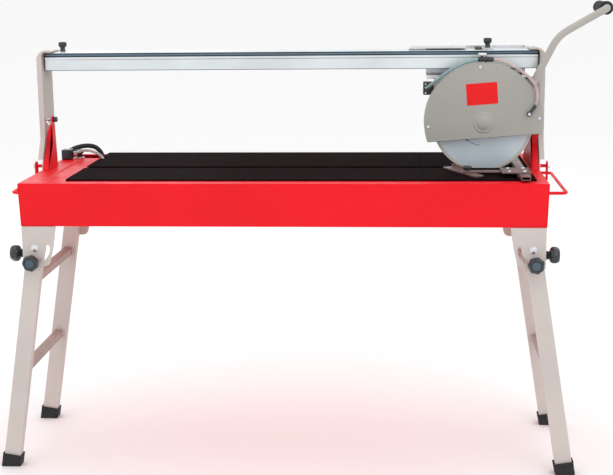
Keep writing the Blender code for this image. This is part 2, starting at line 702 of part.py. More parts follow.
def make_guard_body(frame):
    """The rear half of the blade guard: a back plate with a rim, open at the mouth."""
    rear, front = GUARD_REAR, GUARD_FRONT + 0.003 + GAP
    bm = bmesh.new()
    back = [bm.verts.new((x, rear, z)) for x, z in guard_outline(GUARD_R)]
    rim = [bm.verts.new((x, front, z)) for x, z in guard_outline(GUARD_R)]
    bm.faces.new(list(reversed(back)))
    for i in range(len(back) - 1):
        bm.faces.new((back[i], back[i + 1], rim[i + 1], rim[i]))
    outer = from_bmesh("guard_body", bm)
    skin = outer.modifiers.new("sheet", "SOLIDIFY")
    skin.thickness = 0.003
    skin.offset = -1
    skin.use_even_offset = True
    outer = to_mesh(outer)
    cut(outer, rod((BLADE_X, rear - 0.01, BLADE_Z), (BLADE_X, rear + 0.01, BLADE_Z), 0.014, sides=28))
    return attach(named(outer, "guard_body"), frame, "guard_paint")


def make_guard_cover(frame):
    """The front cover plate with its domed hub."""
    low = GUARD_FRONT
    cover = plate(guard_outline(GUARD_R), low, low + 0.003, "XZ")
    boss = turned([(0.0, 0.0075), (0.0120, 0.0062), (0.0186, 0.0026), (0.0225, 0.0022), (0.0250, -0.001),
                   (0.0, -0.001)],
                  (BLADE_X, low, BLADE_Z), (0, -1, 0), steps=28)
    fuse(cover, boss)
    for angle in (0.0, 90.0, 180.0):
        turn = math.radians(angle) + GUARD_ROLL
        x = BLADE_X + 0.1365 * math.cos(turn)
        z = BLADE_Z + 0.1365 * math.sin(turn)
        fuse(cover, rod((x, low + 0.001, z), (x, low - 0.0015, z), 0.0042, sides=10, end_radius=0.0034))
    return attach(named(cover, "guard_cover"), frame, "guard_paint")


def make_head_arm(frame):
    """The cast arm that joins the plunge pivot to the motor's face, with the pivot pin."""
    low, high = GUARD_REAR + 0.0025, 0.0125
    outline = arc(BLADE_X, BLADE_Z, 0.062, -140, 60, 24)
    outline += arc(PLUNGE_X, PLUNGE_Z, 0.016, 70, 110, 4)
    outline += [(0.366, 0.937), (0.366, 0.912), (0.385, 0.906)]
    hole = arc(BLADE_X, BLADE_Z, 0.0130, 0, 345, 23)
    arm = plate(outline, low, high, "XZ", holes=(hole,))
    boss = rod((PLUNGE_X, 0.0169, PLUNGE_Z), (PLUNGE_X, 0.0500, PLUNGE_Z), 0.0130)
    pin = rod((PLUNGE_X, 0.0100, PLUNGE_Z), (PLUNGE_X, 0.0575, PLUNGE_Z), 0.0050)
    fuse(arm, pin, boss)
    return attach(named(arm, "head_arm"), frame, "guard_paint")


def make_motor(frame):
    """The induction motor: barrel, front flange and fan cowl, on the blade's axis."""
    front = 0.0128
    profile = [(0.0, 0.2200), (0.0480, 0.2200), (0.0530, 0.2150), (0.0530, 0.1800), (0.0500, 0.1790)]
    profile += [(0.0500, 0.0260), (0.0550, 0.0230), (0.0550, 0.0), (0.0, 0.0)]
    motor = turned(profile, (BLADE_X, front, BLADE_Z), (0, 1, 0), steps=32)
    return attach(named(motor, "motor"), frame, "motor_paint")


def make_switch_box(frame):
    shell = rounded(box((0.3400, 0.0140, 0.8970), (0.3750, 0.0480, 0.9290)), 0.002)
    return attach(named(shell, "switch_box"), frame, "black_plastic")


def make_handle(frame):
    """The bent feed handle with the plate that bolts it to the guard's back."""
    foot = Vector((0.6080, 0.9270))
    elbow = Vector((0.6660, 1.0430))
    tip = Vector((0.7660, 1.1000))
    first, second = (elbow - foot).normalized(), (tip - elbow).normalized()
    back, ahead = elbow - 0.028 * first, elbow + 0.028 * second
    bend = []
    for i in range(9):
        t = i / 8
        bend.append((1 - t) ** 2 * back + 2 * t * (1 - t) * elbow + t ** 2 * ahead)
    line = [(p.x, HANDLE_Y, p.y) for p in [foot] + bend + [tip]]
    end = [(GRIP_X - 0.003, HANDLE_Y + 0.002, GRIP_Z - 0.001), (GRIP_X, HANDLE_Y + 0.008, GRIP_Z),
           (GRIP_X, HANDLE_Y + 0.014, GRIP_Z)]
    tube = sweep(line + end, HANDLE_R, resolution=3)
    lug = box((0.6040, HANDLE_Y - 0.002, 0.9270), (0.6250, 0.0025, 0.9430))
    bolt_plate = box((0.5600, GUARD_REAR + 0.0005, 0.8950), (0.6250, 0.0025, 0.9430))
    fuse(tube, lug, bolt_plate)
    return attach(named(tube, "handle_tube"), frame, "guard_paint")


def make_grip(frame):
    """The black hand grip along the handle's turned end, with a flange at its inner end."""
    start = HANDLE_Y + 0.0143
    length = GRIP_END - start
    profile = [(0.0, length), (0.0100, length - 0.001), (0.0150, length - 0.005), (0.0160, length - 0.014),
               (0.0145, 0.75 * length), (0.0155, 0.5 * length), (0.0140, 0.25 * length), (0.0130, 0.010),
               (GRIP_R, 0.006), (GRIP_R, 0.001), (0.0155, 0.0), (0.0, 0.0)]
    grip = turned(profile, (GRIP_X, start, GRIP_Z), (0, 1, 0), steps=20)
    return attach(named(grip, "handle_grip"), frame, "black_rubber")


HOSE_Y = GUARD_FRONT + 0.0100


def on_head(x, z, y=HOSE_Y):
    """A place given from the blade's centre."""
    return (BLADE_X + x, y, BLADE_Z + z)


def make_head_hoses(frame):
    """The water line over the guard: a feed into the valve, and a branch down to the nozzle."""
    feed_route = [on_head(-0.1400, 0.0810, 0.0136), on_head(-0.1400, 0.0812, 0.0060),
                  on_head(-0.1350, 0.0850, -0.007), on_head(-0.1200, 0.0985, -0.021),
                  on_head(-0.0980, 0.1175, -0.031), on_head(-0.074, 0.1330, -0.036),
                  on_head(-0.050, 0.1450), on_head(-0.029, 0.1525), on_head(-0.0152, 0.1540)]
    feed = sweep(smooth_route(feed_route, 3), 0.0036, resolution=2)
    attach(named(feed, "feed_hose"), frame, "clear_hose")
    clear_of_cover = GUARD_FRONT - 0.0065
    branch_route = [on_head(0.0232, 0.1540), on_head(0.0320, 0.1530), on_head(0.0500, 0.1475, -0.0415),
                    on_head(0.0760, 0.1345, -0.048), on_head(0.0990, 0.1190, -0.0545),
                    on_head(0.1175, 0.1010, clear_of_cover), on_head(0.1265, 0.0820, clear_of_cover), on_head(0.1290, 0.0650, clear_of_cover),
                    on_head(0.1265, 0.0450, clear_of_cover)]
    branch = sweep(smooth_route(branch_route, 3), 0.0036, resolution=2)
    attach(named(branch, "branch_hose"), frame, "clear_hose")
    elbow = rod(on_head(0.1257, 0.0420, clear_of_cover), on_head(0.1120, 0.0235, clear_of_cover), 0.0042,
                sides=16, end_radius=0.0036)
    eye = rod(on_head(0.1105, 0.0215, GUARD_FRONT - 0.0110), on_head(0.1105, 0.0215, GUARD_FRONT - GAP),
              0.0060, sides=20)
    fuse(elbow, eye)
    attach(named(elbow, "water_nozzle"), frame, "black_plastic")


def make_valve(frame):
    """The water tap on the guard's crown, with its lever."""
    barrel = rod(on_head(-0.0140, 0.1545), on_head(0.0220, 0.1545), 0.0066, sides=24)
    waist = rod(on_head(0.0020, 0.1545), on_head(0.0050, 0.1545), 0.0078, sides=24)
    stem = rod(on_head(-0.0060, 0.1545), on_head(-0.0060, 0.1680), 0.0030, sides=16)
    lever = box(on_head(-0.0130, 0.1660, HOSE_Y - 0.004), on_head(0.0060, 0.1700, HOSE_Y + 0.004))
    fuse(barrel, waist, stem, lever)
    return attach(named(barrel, "water_valve"), frame, "black_plastic")


def make_blade(frame):
    """The diamond blade: a thin steel core with a thicker continuous rim."""
    core, rim = 0.0009, 0.0013
    bore, edge = 0.0112, BLADE_R - 0.007
    profile = [(bore, core), (edge, core), (edge + 0.0003, rim), (BLADE_R, rim), (BLADE_R, -rim),
               (edge + 0.0003, -rim), (edge, -core), (bore, -core), (bore, core)]
    blade = turned(profile, (BLADE_X, BLADE_Y, BLADE_Z), (0, -1, 0), steps=48)
    return attach(named(blade, "blade"), frame, "steel")


def make_arbor(frame):
    """The blade's shaft with both clamping flanges and the nut, turned as one."""
    gap = 0.0011
    profile = [(0.0, 0.0200), (0.0070, 0.0200), (0.0070, 0.0165), (0.0125, 0.0160), (0.0125, 0.0075),
               (0.0250, 0.0065), (0.0250, gap), (0.0109, gap), (0.0109, -gap), (0.0250, -gap),
               (0.0250, -0.0065), (0.0105, -0.0075), (0.0105, -0.0322), (0.0, -0.0322)]
    arbor = turned(profile, (BLADE_X, BLADE_Y, BLADE_Z), (0, -1, 0), steps=24)
    return attach(named(arbor, "arbor"), frame, "steel")


# ---------------------------------------------------------------- fence

FENCE_X = 0.4445
FENCE_Y = -0.136
GUIDE_H = 0.010


def make_fence_guide(frame):
    """The square tube along the table's right end that the fence slides on."""
    low = TABLE_TOP + GAP
    high = low + GUIDE_H
    ring = [(0.564, low), (0.586, low), (0.586, high), (0.564, high)]
    bore = [(0.566, low + 0.002), (0.584, low + 0.002), (0.584, high - 0.002), (0.566, high - 0.002)]
    guide = plate(ring, -0.245, 0.100, "XZ", holes=(bore,))
    return attach(named(guide, "fence_guide"), frame, "fence_metal")


def make_fence_slider(frame):
    """The saddle over the guide, with an arm out to the mitre pivot."""
    low = TABLE_TOP + GAP
    top = low + GUIDE_H + GAP
    saddle = box((0.5230, -0.200, top), (0.5915, -0.120, top + 0.003))
    inner = box((0.5600, -0.200, low + 0.0005), (0.5637, -0.120, top + 0.001))
    outer = box((0.5863, -0.200, low + 0.0005), (0.5915, -0.120, top + 0.001))
    arm = box((FENCE_X - 0.012, -0.148, low + 0.0045), (0.5610, -0.124, low + 0.0075))
    rib = box((0.5230, -0.148, low + 0.0050), (0.5260, -0.124, top + 0.001))
    slider = fuse(saddle, inner, outer, arm, rib)
    cut(slider, rod((FENCE_X, FENCE_Y, low), (FENCE_X, FENCE_Y, low + 0.01), 0.0044))
    return attach(named(slider, "fence_slider"), frame, "fence_metal")


def make_mitre_arm(frame):
    """The angle-section mitre arm that turns under the slider's arm."""
    low = TABLE_TOP + GAP
    flat = box((-0.012, -0.060, 0), (0.012, 0.105, 0.0040))
    upright = box((0.009, 0.014, 0.001), (0.012, 0.100, 0.0120))
    cut(flat, rod((0, 0, -0.01), (0, 0, 0.01), 0.0044))
    fuse(flat, upright)
    moved(flat, Matrix.Translation((FENCE_X, FENCE_Y, low)) @ Matrix.Rotation(math.radians(25), 4, "Z"))
    return attach(named(flat, "mitre_arm"), frame, "fence_metal")


def make_fence_knob(frame):
    low = TABLE_TOP + GAP
    profile = [(0.0, 0.0115), (0.0090, 0.0110), (0.0110, 0.0090), (0.0110, 0.0040), (0.0070, 0.0035),
               (0.0070, 0.0), (0.0040, 0.0), (0.0040, -0.0065), (0.0, -0.0065)]
    knob = turned(profile, (FENCE_X, FENCE_Y, low + 0.0080), (0, 0, 1), steps=24)
    return attach(named(knob, "fence_knob"), frame, "black_plastic")


# ---------------------------------------------------------------- water supply

def make_water_parts(frame):
    """The pump in the basin, its hoses, and the connector block and knob on the deck."""
    pump = rounded(box((-0.600, 0.095, TRAY_BOTTOM_Z + SHEET + GAP), (-0.548, 0.155, 0.660)), 0.006)
    fuse(pump, rod((-0.574, 0.150, 0.640), (-0.574, 0.163, 0.640), 0.0075, sides=20))
    attach(named(pump, "water_pump"), frame, "black_plastic")
    block = rounded(box((-0.6260, 0.142, RIM_Z + GAP), (-0.5990, 0.172, 0.7420)), 0.0025)
    attach(named(block, "hose_block"), frame, "black_plastic")
    supply_route = [(-0.613, 0.1727, 0.733), (-0.613, 0.182, 0.733), (-0.608, 0.203, 0.737),
                    (-0.594, 0.2155, 0.741), (-0.575, 0.219, 0.7435), (-0.556, 0.222, 0.741),
                    (-0.542, 0.225, 0.731), (-0.534, 0.2265, 0.715), (-0.533, 0.2265, 0.695),
                    (-0.536, 0.2245, 0.672), (-0.546, 0.215, 0.652), (-0.560, 0.198, 0.642),
                    (-0.5725, 0.182, 0.640), (-0.574, 0.173, 0.640), (-0.574, 0.1637, 0.640)]
    supply = sweep(smooth_route(supply_route, 2), 0.0065, resolution=2)
    attach(named(supply, "supply_hose"), frame, "black_rubber")
    drain_route = [(-0.5986, 0.157, 0.7320), (-0.590, 0.157, 0.7320), (-0.575, 0.157, 0.7375),
                   (-0.556, 0.156, 0.7390), (-0.538, 0.154, 0.7345), (-0.523, 0.152, 0.7270),
                   (-0.514, 0.150, 0.7160), (-0.5115, 0.149, 0.7020), (-0.5115, 0.148, 0.6850),
                   (-0.5125, 0.147, 0.6650)]
    drain = sweep(smooth_route(drain_route, 2), 0.0040, resolution=2)
    attach(named(drain, "drain_hose"), frame, "clear_hose")


def make_corner_knob(frame):
    knob = fluted_knob(0.0125, 0.022, 0.0080, (-0.588, 0.188, RIM_Z + GAP), flutes=6)
    return attach(named(knob, "corner_knob"), frame, "black_plastic")


# ---------------------------------------------------------------- whole machine

ROOT_MATRIX = Matrix.Translation((-0.5 * (X_MIN + X_MAX), -0.5 * (Y_MIN + Y_MAX), 0.0))


def build_base(root):
    make_tray(root)
    make_left_deck(root)
    make_tables(root)
    make_water_parts(root)
    make_corner_knob(joint_frame("corner_knob_axis", (-0.588, 0.188, RIM_Z), root))
    for side in (-1, 1):
        make_carry_handle(side, root)
        make_tilt_bracket(side, root)
        for end in ("front", "rear"):
            make_leg_bracket(side, end, root)
        spot = (side * 0.6237, FRONT_LEG_Y, 0.543)
        make_side_knob(side, joint_frame("side_knob_axis_" + side_name(side), spot, root))
        clamp = (side * 0.610, CLAMP_Y, CLAMP_Z)
        make_tilt_clamp(side, joint_frame("tilt_clamp_axis_" + side_name(side), clamp, root))


def build_legs(root):
    for side in (-1, 1):
        pivot = joint_frame("fold_axis_" + side_name(side), (side * PIVOT_X, FRONT_LEG_Y, PIVOT_Z), root)
        for end in ("front", "rear"):
            make_leg(side, end, pivot)
            make_foot(side, end, pivot)
        make_cross_bar(side, "upper", 0.084, pivot)
        make_cross_bar(side, "lower", 0.317, pivot)
        stud = leg_matrix(side, FRONT_LEG_Y) @ Vector((0, 0, -STUD_R))
        make_leg_lock(side, joint_frame("leg_lock_axis_" + side_name(side), stud, pivot))


def build_gantry(root):
    gantry = joint_frame("tilt_axis", (0.0, TILT_Y, TILT_Z), root)
    make_post(-1, gantry)
    make_post(1, gantry)
    make_rail(gantry)
    make_stop_knob(joint_frame("stop_knob_axis", (-0.585, 0.055, RAIL_TOP), gantry))
    carriage = joint_frame("carriage_slide", (BLADE_X, 0.055, RAIL_LOW), gantry)
    make_carriage(carriage)
    make_carriage_lock(joint_frame("carriage_lock_axis", (0.500, LOCK_Y, RAIL_TOP), carriage))
    for label, x in (("left", 0.420), ("right", 0.560)):
        make_roller(label, x, joint_frame("roller_axis_" + label, (x, 0.070, 0.9543), carriage))
    head = joint_frame("plunge_axis", (PLUNGE_X, 0.0335, PLUNGE_Z), carriage)
    make_guard_body(head)
    make_guard_cover(head)
    make_head_arm(head)
    make_motor(head)
    make_switch_box(head)
    make_handle(head)
    make_grip(head)
    make_head_hoses(head)
    make_valve(head)
    spindle = joint_frame("blade_axis", (BLADE_X, BLADE_Y, BLADE_Z), head)
    make_blade(spindle)
    make_arbor(spindle)


def build_fence(root):
    make_fence_guide(root)
    slide = joint_frame("fence_slide", (0.575, FENCE_Y, TABLE_TOP), root)
    make_fence_slider(slide)
    mitre = joint_frame("mitre_axis", (FENCE_X, FENCE_Y, TABLE_TOP), slide)
    make_mitre_arm(mitre)
    make_fence_knob(joint_frame("fence_knob_axis", (FENCE_X, FENCE_Y, TABLE_TOP + 0.01), mitre))


clear_scene()
PARTS = new_collection("wet_tile_saw")
SCRAP = new_collection("joint_frames")
make_materials()
machine = bpy.data.objects.new("machine_origin", None)
SCRAP.objects.link(machine)
machine.matrix_world = ROOT_MATRIX
bpy.context.view_layer.update()
build_base(machine)
build_legs(machine)
build_gantry(machine)
build_fence(machine)
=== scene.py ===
"""The looks of a wet tile saw: every surface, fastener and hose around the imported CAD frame.

Lengths are metres in the frame's own axes: +X towards the saw head, +Y away from the operator, +Z up.
Places come from the frame's boxes and joints. Other sizes are named where they are used.
"""

import json
import math

import bmesh
import bpy
from mathutils import Matrix, Vector


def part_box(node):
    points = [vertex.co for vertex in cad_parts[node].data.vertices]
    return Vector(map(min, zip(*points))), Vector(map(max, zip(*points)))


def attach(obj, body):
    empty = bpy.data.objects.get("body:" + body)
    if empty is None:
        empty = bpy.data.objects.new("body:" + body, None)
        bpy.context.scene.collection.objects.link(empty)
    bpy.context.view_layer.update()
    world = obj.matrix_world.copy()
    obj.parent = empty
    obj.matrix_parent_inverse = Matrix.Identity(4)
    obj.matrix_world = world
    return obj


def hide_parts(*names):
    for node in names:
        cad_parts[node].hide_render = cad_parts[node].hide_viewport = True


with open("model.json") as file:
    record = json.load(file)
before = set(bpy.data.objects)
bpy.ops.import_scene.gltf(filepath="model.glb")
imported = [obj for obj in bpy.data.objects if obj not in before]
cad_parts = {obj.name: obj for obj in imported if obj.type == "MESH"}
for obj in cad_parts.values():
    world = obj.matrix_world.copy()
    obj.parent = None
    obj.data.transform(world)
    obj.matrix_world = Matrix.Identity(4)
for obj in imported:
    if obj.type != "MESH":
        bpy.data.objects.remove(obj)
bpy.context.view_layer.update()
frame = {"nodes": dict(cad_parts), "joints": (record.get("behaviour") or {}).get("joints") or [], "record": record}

JOINTS = {joint["name"]: joint for joint in frame["joints"]}
BODY_OF = {node: body for body, nodes in frame["record"]["behaviour"]["bodies"].items() for node in nodes}
SLOT_OF = {part["node"]: part["material_slot"] for part in frame["record"]["subparts"]}
SIDES = (("left", -1), ("right", 1))
Y = Vector((0, 1, 0))
LEAN = math.radians(9.2)
GUARD_ROLL = math.radians(4.3)
MATERIALS = {}


def joint_place(name):
    return Vector(JOINTS[name]["pos_m"])


BLADE_CENTRE = joint_place("blade_spin")
BLADE_RADIUS = 0.5 * (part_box("blade")[1].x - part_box("blade")[0].x)


# ---------------------------------------------------------------- materials

def add(tree, kind, settings=None, **inputs):
    """A shader node with its settings and its inputs, each a value or another node's socket."""
    node = tree.nodes.new("ShaderNode" + kind)
    for key, value in (settings or {}).items():
        setattr(node, key, value)
    for key, value in inputs.items():
        socket = node.inputs[key.replace("_", " ")]
        if isinstance(value, bpy.types.NodeSocket):
            tree.links.new(value, socket)
        else:
            socket.default_value = value
    return node


def plain(name, colour, roughness, metallic=0.0, **sockets):
    """A material with its steady values on the shader's own sockets."""
    mat = bpy.data.materials.new(name)
    mat.use_nodes = True
    shader = mat.node_tree.nodes["Principled BSDF"]
    shader.inputs["Base Color"].default_value = (*colour, 1.0)
    shader.inputs["Roughness"].default_value = roughness
    shader.inputs["Metallic"].default_value = metallic
    for key, value in sockets.items():
        shader.inputs[key.replace("_", " ")].default_value = value
    mat.diffuse_color = (*colour, 1.0)
    MATERIALS[name] = mat
    return shader


def object_place(shader, scale=(1.0, 1.0, 1.0)):
    tree = shader.id_data
    place = add(tree, "TexCoord").outputs["Object"]
    return add(tree, "Mapping", Vector=place, Scale=scale).outputs[0]


def noise(place, scale, detail=3.0, rough=0.55):
    return add(place.id_data, "TexNoise", Vector=place, Scale=scale, Detail=detail, Roughness=rough).outputs[0]


def gloss(shader, value, low, high, first=0.3, last=0.7):
    """Carry a noise value onto a range of roughness."""
    tree = shader.id_data
    spread = add(tree, "MapRange", Value=value, From_Min=first, From_Max=last, To_Min=low, To_Max=high)
    tree.links.new(spread.outputs[0], shader.inputs["Roughness"])


def tint(shader, value, colour, *stops):
    """Colour by a ramp: each stop is its position and a factor on the colour, or another colour."""
    tree = shader.id_data
    node = add(tree, "ValToRGB", Fac=value)
    ramp = node.color_ramp
    while len(ramp.elements) < len(stops):
        ramp.elements.new(0.5)
    for element, (position, shade) in zip(ramp.elements, stops):
        if not isinstance(shade, tuple):
            shade = [min(1.0, c * shade) for c in colour]
        element.position = position
        element.color = (*shade, 1.0)
    tree.links.new(node.outputs[0], shader.inputs["Base Color"])


def bump(shader, height, distance, strength=1.0, below=None):
    tree = shader.id_data
    node = add(tree, "Bump", Height=height, Distance=distance, Strength=strength)
    if below is not None:
        tree.links.new(below, node.inputs["Normal"])
    tree.links.new(node.outputs[0], shader.inputs["Normal"])
    return node.outputs[0]


def powder_coat(name, colour, roughness, peel=0.00005, tone=0.05, **sockets):
    """Baked powder paint: an orange-peel surface with slow changes of tone and gloss, and a little dust."""
    shader = plain(name, colour, roughness, **sockets)
    place = object_place(shader)
    tint(shader, noise(place, 5.0), colour, (0.32, 1 - tone), (0.68, 1 + tone))
    gloss(shader, noise(place, 28.0, 5.0), roughness - 0.07, roughness + 0.08)
    coarse = bump(shader, noise(place, 260.0, 2.0), peel)
    bump(shader, noise(place, 1500.0, 1.0), 0.3 * peel, below=coarse)


def drawn_metal(name, colour, roughness, along, **sockets):
    """Metal with fine lines along one axis."""
    shader = plain(name, colour, roughness, 1.0, **sockets)
    scale = [1400.0, 1400.0, 1400.0]
    scale["XYZ".index(along)] = 6.0
    lines = noise(object_place(shader, scale), 1.0, 4.0, 0.7)
    tint(shader, noise(object_place(shader), 9.0), colour, (0.3, 0.93), (0.7, 1.05))
    gloss(shader, lines, roughness - 0.09, roughness + 0.11)
    bump(shader, lines, 0.00002, 0.7)


def plated_metal(name, colour, roughness, spangle=140.0, **sockets):
    """Zinc plate: faint crystals and a mottled gloss."""
    shader = plain(name, colour, roughness, 1.0, **sockets)
    tree, place = shader.id_data, object_place(shader)
    cells = add(tree, "TexVoronoi", Vector=place, Scale=spangle).outputs["Color"]
    grey = add(tree, "RGBToBW", Color=cells).outputs[0]
    tint(shader, grey, colour, (0.1, 0.9), (0.9, 1.06))
    gloss(shader, grey, roughness - 0.07, roughness + 0.09, 0.0, 1.0)
    bump(shader, noise(place, 420.0, 4.0), 0.00003)


def moulded(name, colour, roughness, grain=900.0, depth=0.00006, **sockets):
    """Moulded plastic or rubber with a fine spark-eroded grain."""
    shader = plain(name, colour, roughness, **sockets)
    place = object_place(shader)
    tint(shader, noise(place, 22.0, 4.0), colour, (0.3, 0.82), (0.7, 1.2))
    gloss(shader, noise(place, 60.0, 3.0), roughness - 0.06, roughness + 0.08)
    bump(shader, noise(place, grain, 2.0), depth)


def cast_metal(name, colour, roughness):
    """Painted casting: soft lumps under the paint."""
    shader = plain(name, colour, roughness)
    place = object_place(shader)
    tint(shader, noise(place, 14.0), colour, (0.3, 0.9), (0.7, 1.08))
    lumps = bump(shader, noise(place, 190.0, 5.0, 0.65), 0.00025)
    bump(shader, noise(place, 900.0, 2.0), 0.00005, below=lumps)


def wet_black(name, colour):
    """Black table paint under a patchy film of water."""
    shader = plain(name, colour, 0.5, Specular_IOR_Level=0.0, Coat_Weight=0.03, Coat_Roughness=0.3)
    place = object_place(shader)
    film = noise(place, 7.0, 6.0, 0.6)
    gloss(shader, film, 0.16, 0.5, 0.42, 0.58)
    scuffs = noise(object_place(shader, (12.0, 260.0, 260.0)), 1.0, 5.0, 0.7)
    tint(shader, scuffs, colour, (0.35, 1.0), (0.75, (0.020, 0.012, 0.013)))
    ripples = bump(shader, film, 0.0004, 0.5)
    bump(shader, noise(place, 700.0, 2.0), 0.00003, below=ripples)


def ring_distance(tree):
    """How far a point is from the blade's axis."""
    value = add(tree, "TexCoord").outputs["Object"]
    for operation, other in (("SUBTRACT", BLADE_CENTRE), ("MULTIPLY", (1.0, 0.0, 1.0)), ("LENGTH", None)):
        node = add(tree, "VectorMath", {"operation": operation})
        tree.links.new(value, node.inputs[0])
        if other is not None:
            node.inputs[1].default_value = other
        value = node.outputs[0]
    return node.outputs["Value"]


def ground_steel(name, colour, roughness, metallic=1.0):
    """Steel ground in circles round the blade's axis."""
    shader = plain(name, colour, roughness, metallic)
    tree = shader.id_data
    rings = add(tree, "TexNoise", {"noise_dimensions": "1D"}, W=ring_distance(tree), Scale=2600.0, Detail=4.0)
    tint(shader, noise(object_place(shader), 16.0), colour, (0.3, 0.95), (0.7, 1.04))
    gloss(shader, rings.outputs[0], roughness - 0.08, roughness + 0.12)
    bump(shader, rings.outputs[0], 0.000015, 0.8)


def diamond_grit(name, colour):
    """The blade's rim: metal bond full of grit."""
    shader = plain(name, colour, 0.6, 0.4)
    grit = noise(object_place(shader), 1300.0, 4.0, 0.8)
    tint(shader, grit, colour, (0.38, 0.6), (0.55, 1.0), (0.7, 1.3))
    bump(shader, grit, 0.0002)


def clear_tube(name, colour, transmission=0.45):
    """Soft clear hose with haze and a few drops inside."""
    shader = plain(name, colour, 0.18, Transmission_Weight=transmission, IOR=1.42, Coat_Weight=0.4)
    place = object_place(shader)
    haze = noise(place, 120.0, 4.0)
    tint(shader, haze, colour, (0.35, 0.86), (0.7, 1.1))
    gloss(shader, haze, 0.12, 0.3)
    bump(shader, noise(place, 300.0, 2.0), 0.00004)


def make_materials():
    powder_coat("red_paint", (0.78, 0.004, 0.012), 0.42, Specular_IOR_Level=0.22)
    powder_coat("grey_paint", (0.56, 0.505, 0.475), 0.5, Specular_IOR_Level=0.3)
    # The leg paint darkened and browned: painted shade under the tray, with a painted red reflection from it, for
    # the cross bars.
    powder_coat("frame_painted_shade", (0.36, 0.285, 0.255), 0.55, Specular_IOR_Level=0.3)
    powder_coat("guard_paint", (0.37, 0.365, 0.335), 0.48, Specular_IOR_Level=0.3)
    powder_coat("handle_paint", (0.40, 0.375, 0.345), 0.42)
    powder_coat("fence_metal", (0.23, 0.135, 0.125), 0.38, Metallic=0.5)
    powder_coat("label_red", (0.80, 0.006, 0.008), 0.4, peel=0.00001, tone=0.02, Specular_IOR_Level=0.25)
    drawn_metal("aluminium", (0.72, 0.77, 0.79), 0.34, "X")
    # Painted shade: dark blue-grey for the inside of the rail's groove and the line along its lower front edge.
    drawn_metal("rail_painted_shade", (0.16, 0.215, 0.265), 0.4, "X")
    plated_metal("zinc", (0.66, 0.67, 0.69), 0.34)
    plated_metal("fastener", (0.72, 0.73, 0.76), 0.26, spangle=600.0)
    drawn_metal("shaft_steel", (0.66, 0.68, 0.70), 0.25, "Y")
    ground_steel("steel", (0.60, 0.70, 0.755), 0.42, 0.2)
    diamond_grit("blade_rim", (0.62, 0.61, 0.56))
    cast_metal("cast_paint", (0.40, 0.39, 0.37), 0.5)
    powder_coat("motor_paint", (0.022, 0.023, 0.025), 0.42, peel=0.00008)
    wet_black("table_black", (0.0055, 0.0028, 0.0032))
    moulded("black_plastic", (0.012, 0.015, 0.019), 0.34, Coat_Weight=0.15)
    moulded("knob_plastic", (0.009, 0.014, 0.019), 0.24, grain=1500.0, depth=0.00002, Coat_Weight=0.4)
    moulded("knob_cap", (0.055, 0.085, 0.11), 0.36)
    moulded("white_plastic", (0.72, 0.72, 0.69), 0.35)
    moulded("olive_plastic", (0.065, 0.072, 0.045), 0.5)
    moulded("black_rubber", (0.014, 0.014, 0.015), 0.72, grain=500.0, depth=0.00015)
    moulded("print_ink", (0.02, 0.022, 0.03), 0.5)
    clear_tube("clear_hose", (0.66, 0.70, 0.70))
    clear_tube("hose_blue", (0.32, 0.50, 0.51), 0.3)
    clear_tube("hose_pink", (0.66, 0.50, 0.48), 0.3)
    clear_tube("hose_water", (0.62, 0.70, 0.70), 0.6)


# ---------------------------------------------------------------- mesh helpers

def facing(point, axis):
    """A matrix at a point with its Z axis along a direction."""
    return Matrix.Translation(point) @ Vector(axis).to_track_quat("Z", "Y").to_matrix().to_4x4()


def round_edges(obj, width, segments):
    edge = obj.modifiers.new("edge", "BEVEL")
    edge.width = width
    edge.segments = segments
    edge.limit_method = "ANGLE"
    edge.angle_limit = math.radians(30)
    obj.modifiers.new("normals", "WEIGHTED_NORMAL").keep_sharp = True


def piece(name, bm, body, material, replaced=(), crease=35, bevel=0.0):
    """Finish a mesh as a visible piece that rides on a CAD body."""
    bmesh.ops.recalc_face_normals(bm, faces=bm.faces)
    mesh = bpy.data.meshes.new(name)
    bm.to_mesh(mesh)
    bm.free()
    obj = bpy.data.objects.new(name, mesh)
    bpy.context.scene.collection.objects.link(obj)
    mesh.shade_smooth()
    mesh.set_sharp_from_angle(angle=math.radians(crease))
    mesh.materials.append(MATERIALS[material])
    if bevel:
        round_edges(obj, bevel, 3)
    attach(obj, body)
    if replaced:
        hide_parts(*replaced)
    return obj


def dress(node, ending, bm, material=None, crease=35, bevel=0.0):
    """A piece that goes with a CAD node, on its body and in its slot. The _finish piece stands in for it."""
    slot = SLOT_OF[node]
    replaced = (node,) if ending == "_finish" else ()
    return piece(node + ending, bm, BODY_OF[node], material or slot, replaced, crease, bevel)


def fixings(name, body, head, sizes, places):
    """Bolt or screw heads as one piece."""
    bm = bmesh.new()
    for place in places:
        head(bm, place, *sizes)
    piece(name, bm, body, "fastener", crease=30)


def span(node):
    """A node's lowest and highest corners and the middle between them."""
    low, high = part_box(node)
    return low, high, 0.5 * (low + high)


def quad_strip(bm, first, second):
    """Join two rings of the same length, or a ring and a point."""
    count = max(len(first), len(second))
    for i in range(count):
        k = (i + 1) % count
        corners = []
        for ring, order in ((first, (i, k)), (second, (k, i))):
            corners += [ring[0]] if len(ring) == 1 else [ring[j] for j in order]
        bm.faces.new(corners)


def lathe(bm, profile, place, steps=48, lobes=0, unit=1.0):
    """Turn (radius, height) pairs round a matrix's Z axis. A third value is how deep the lobes cut there.

    Radii are in the unit; heights and lobes are in metres.
    """
    rings = []
    for radius, height, *depth in profile:
        radius *= unit
        if radius < 1e-7:
            rings.append([bm.verts.new(place @ Vector((0, 0, height)))])
            continue
        ring = []
        for i in range(steps):
            angle = 2 * math.pi * i / steps
            reach = radius - (depth[0] if depth else 0.0) * (0.5 + 0.5 * math.cos(lobes * angle))
            ring.append(bm.verts.new(place @ Vector((reach * math.cos(angle), reach * math.sin(angle), height))))
        rings.append(ring)
    for first, second in zip(rings, rings[1:]):
        if len(first) + len(second) > 2:
            quad_strip(bm, first, second)


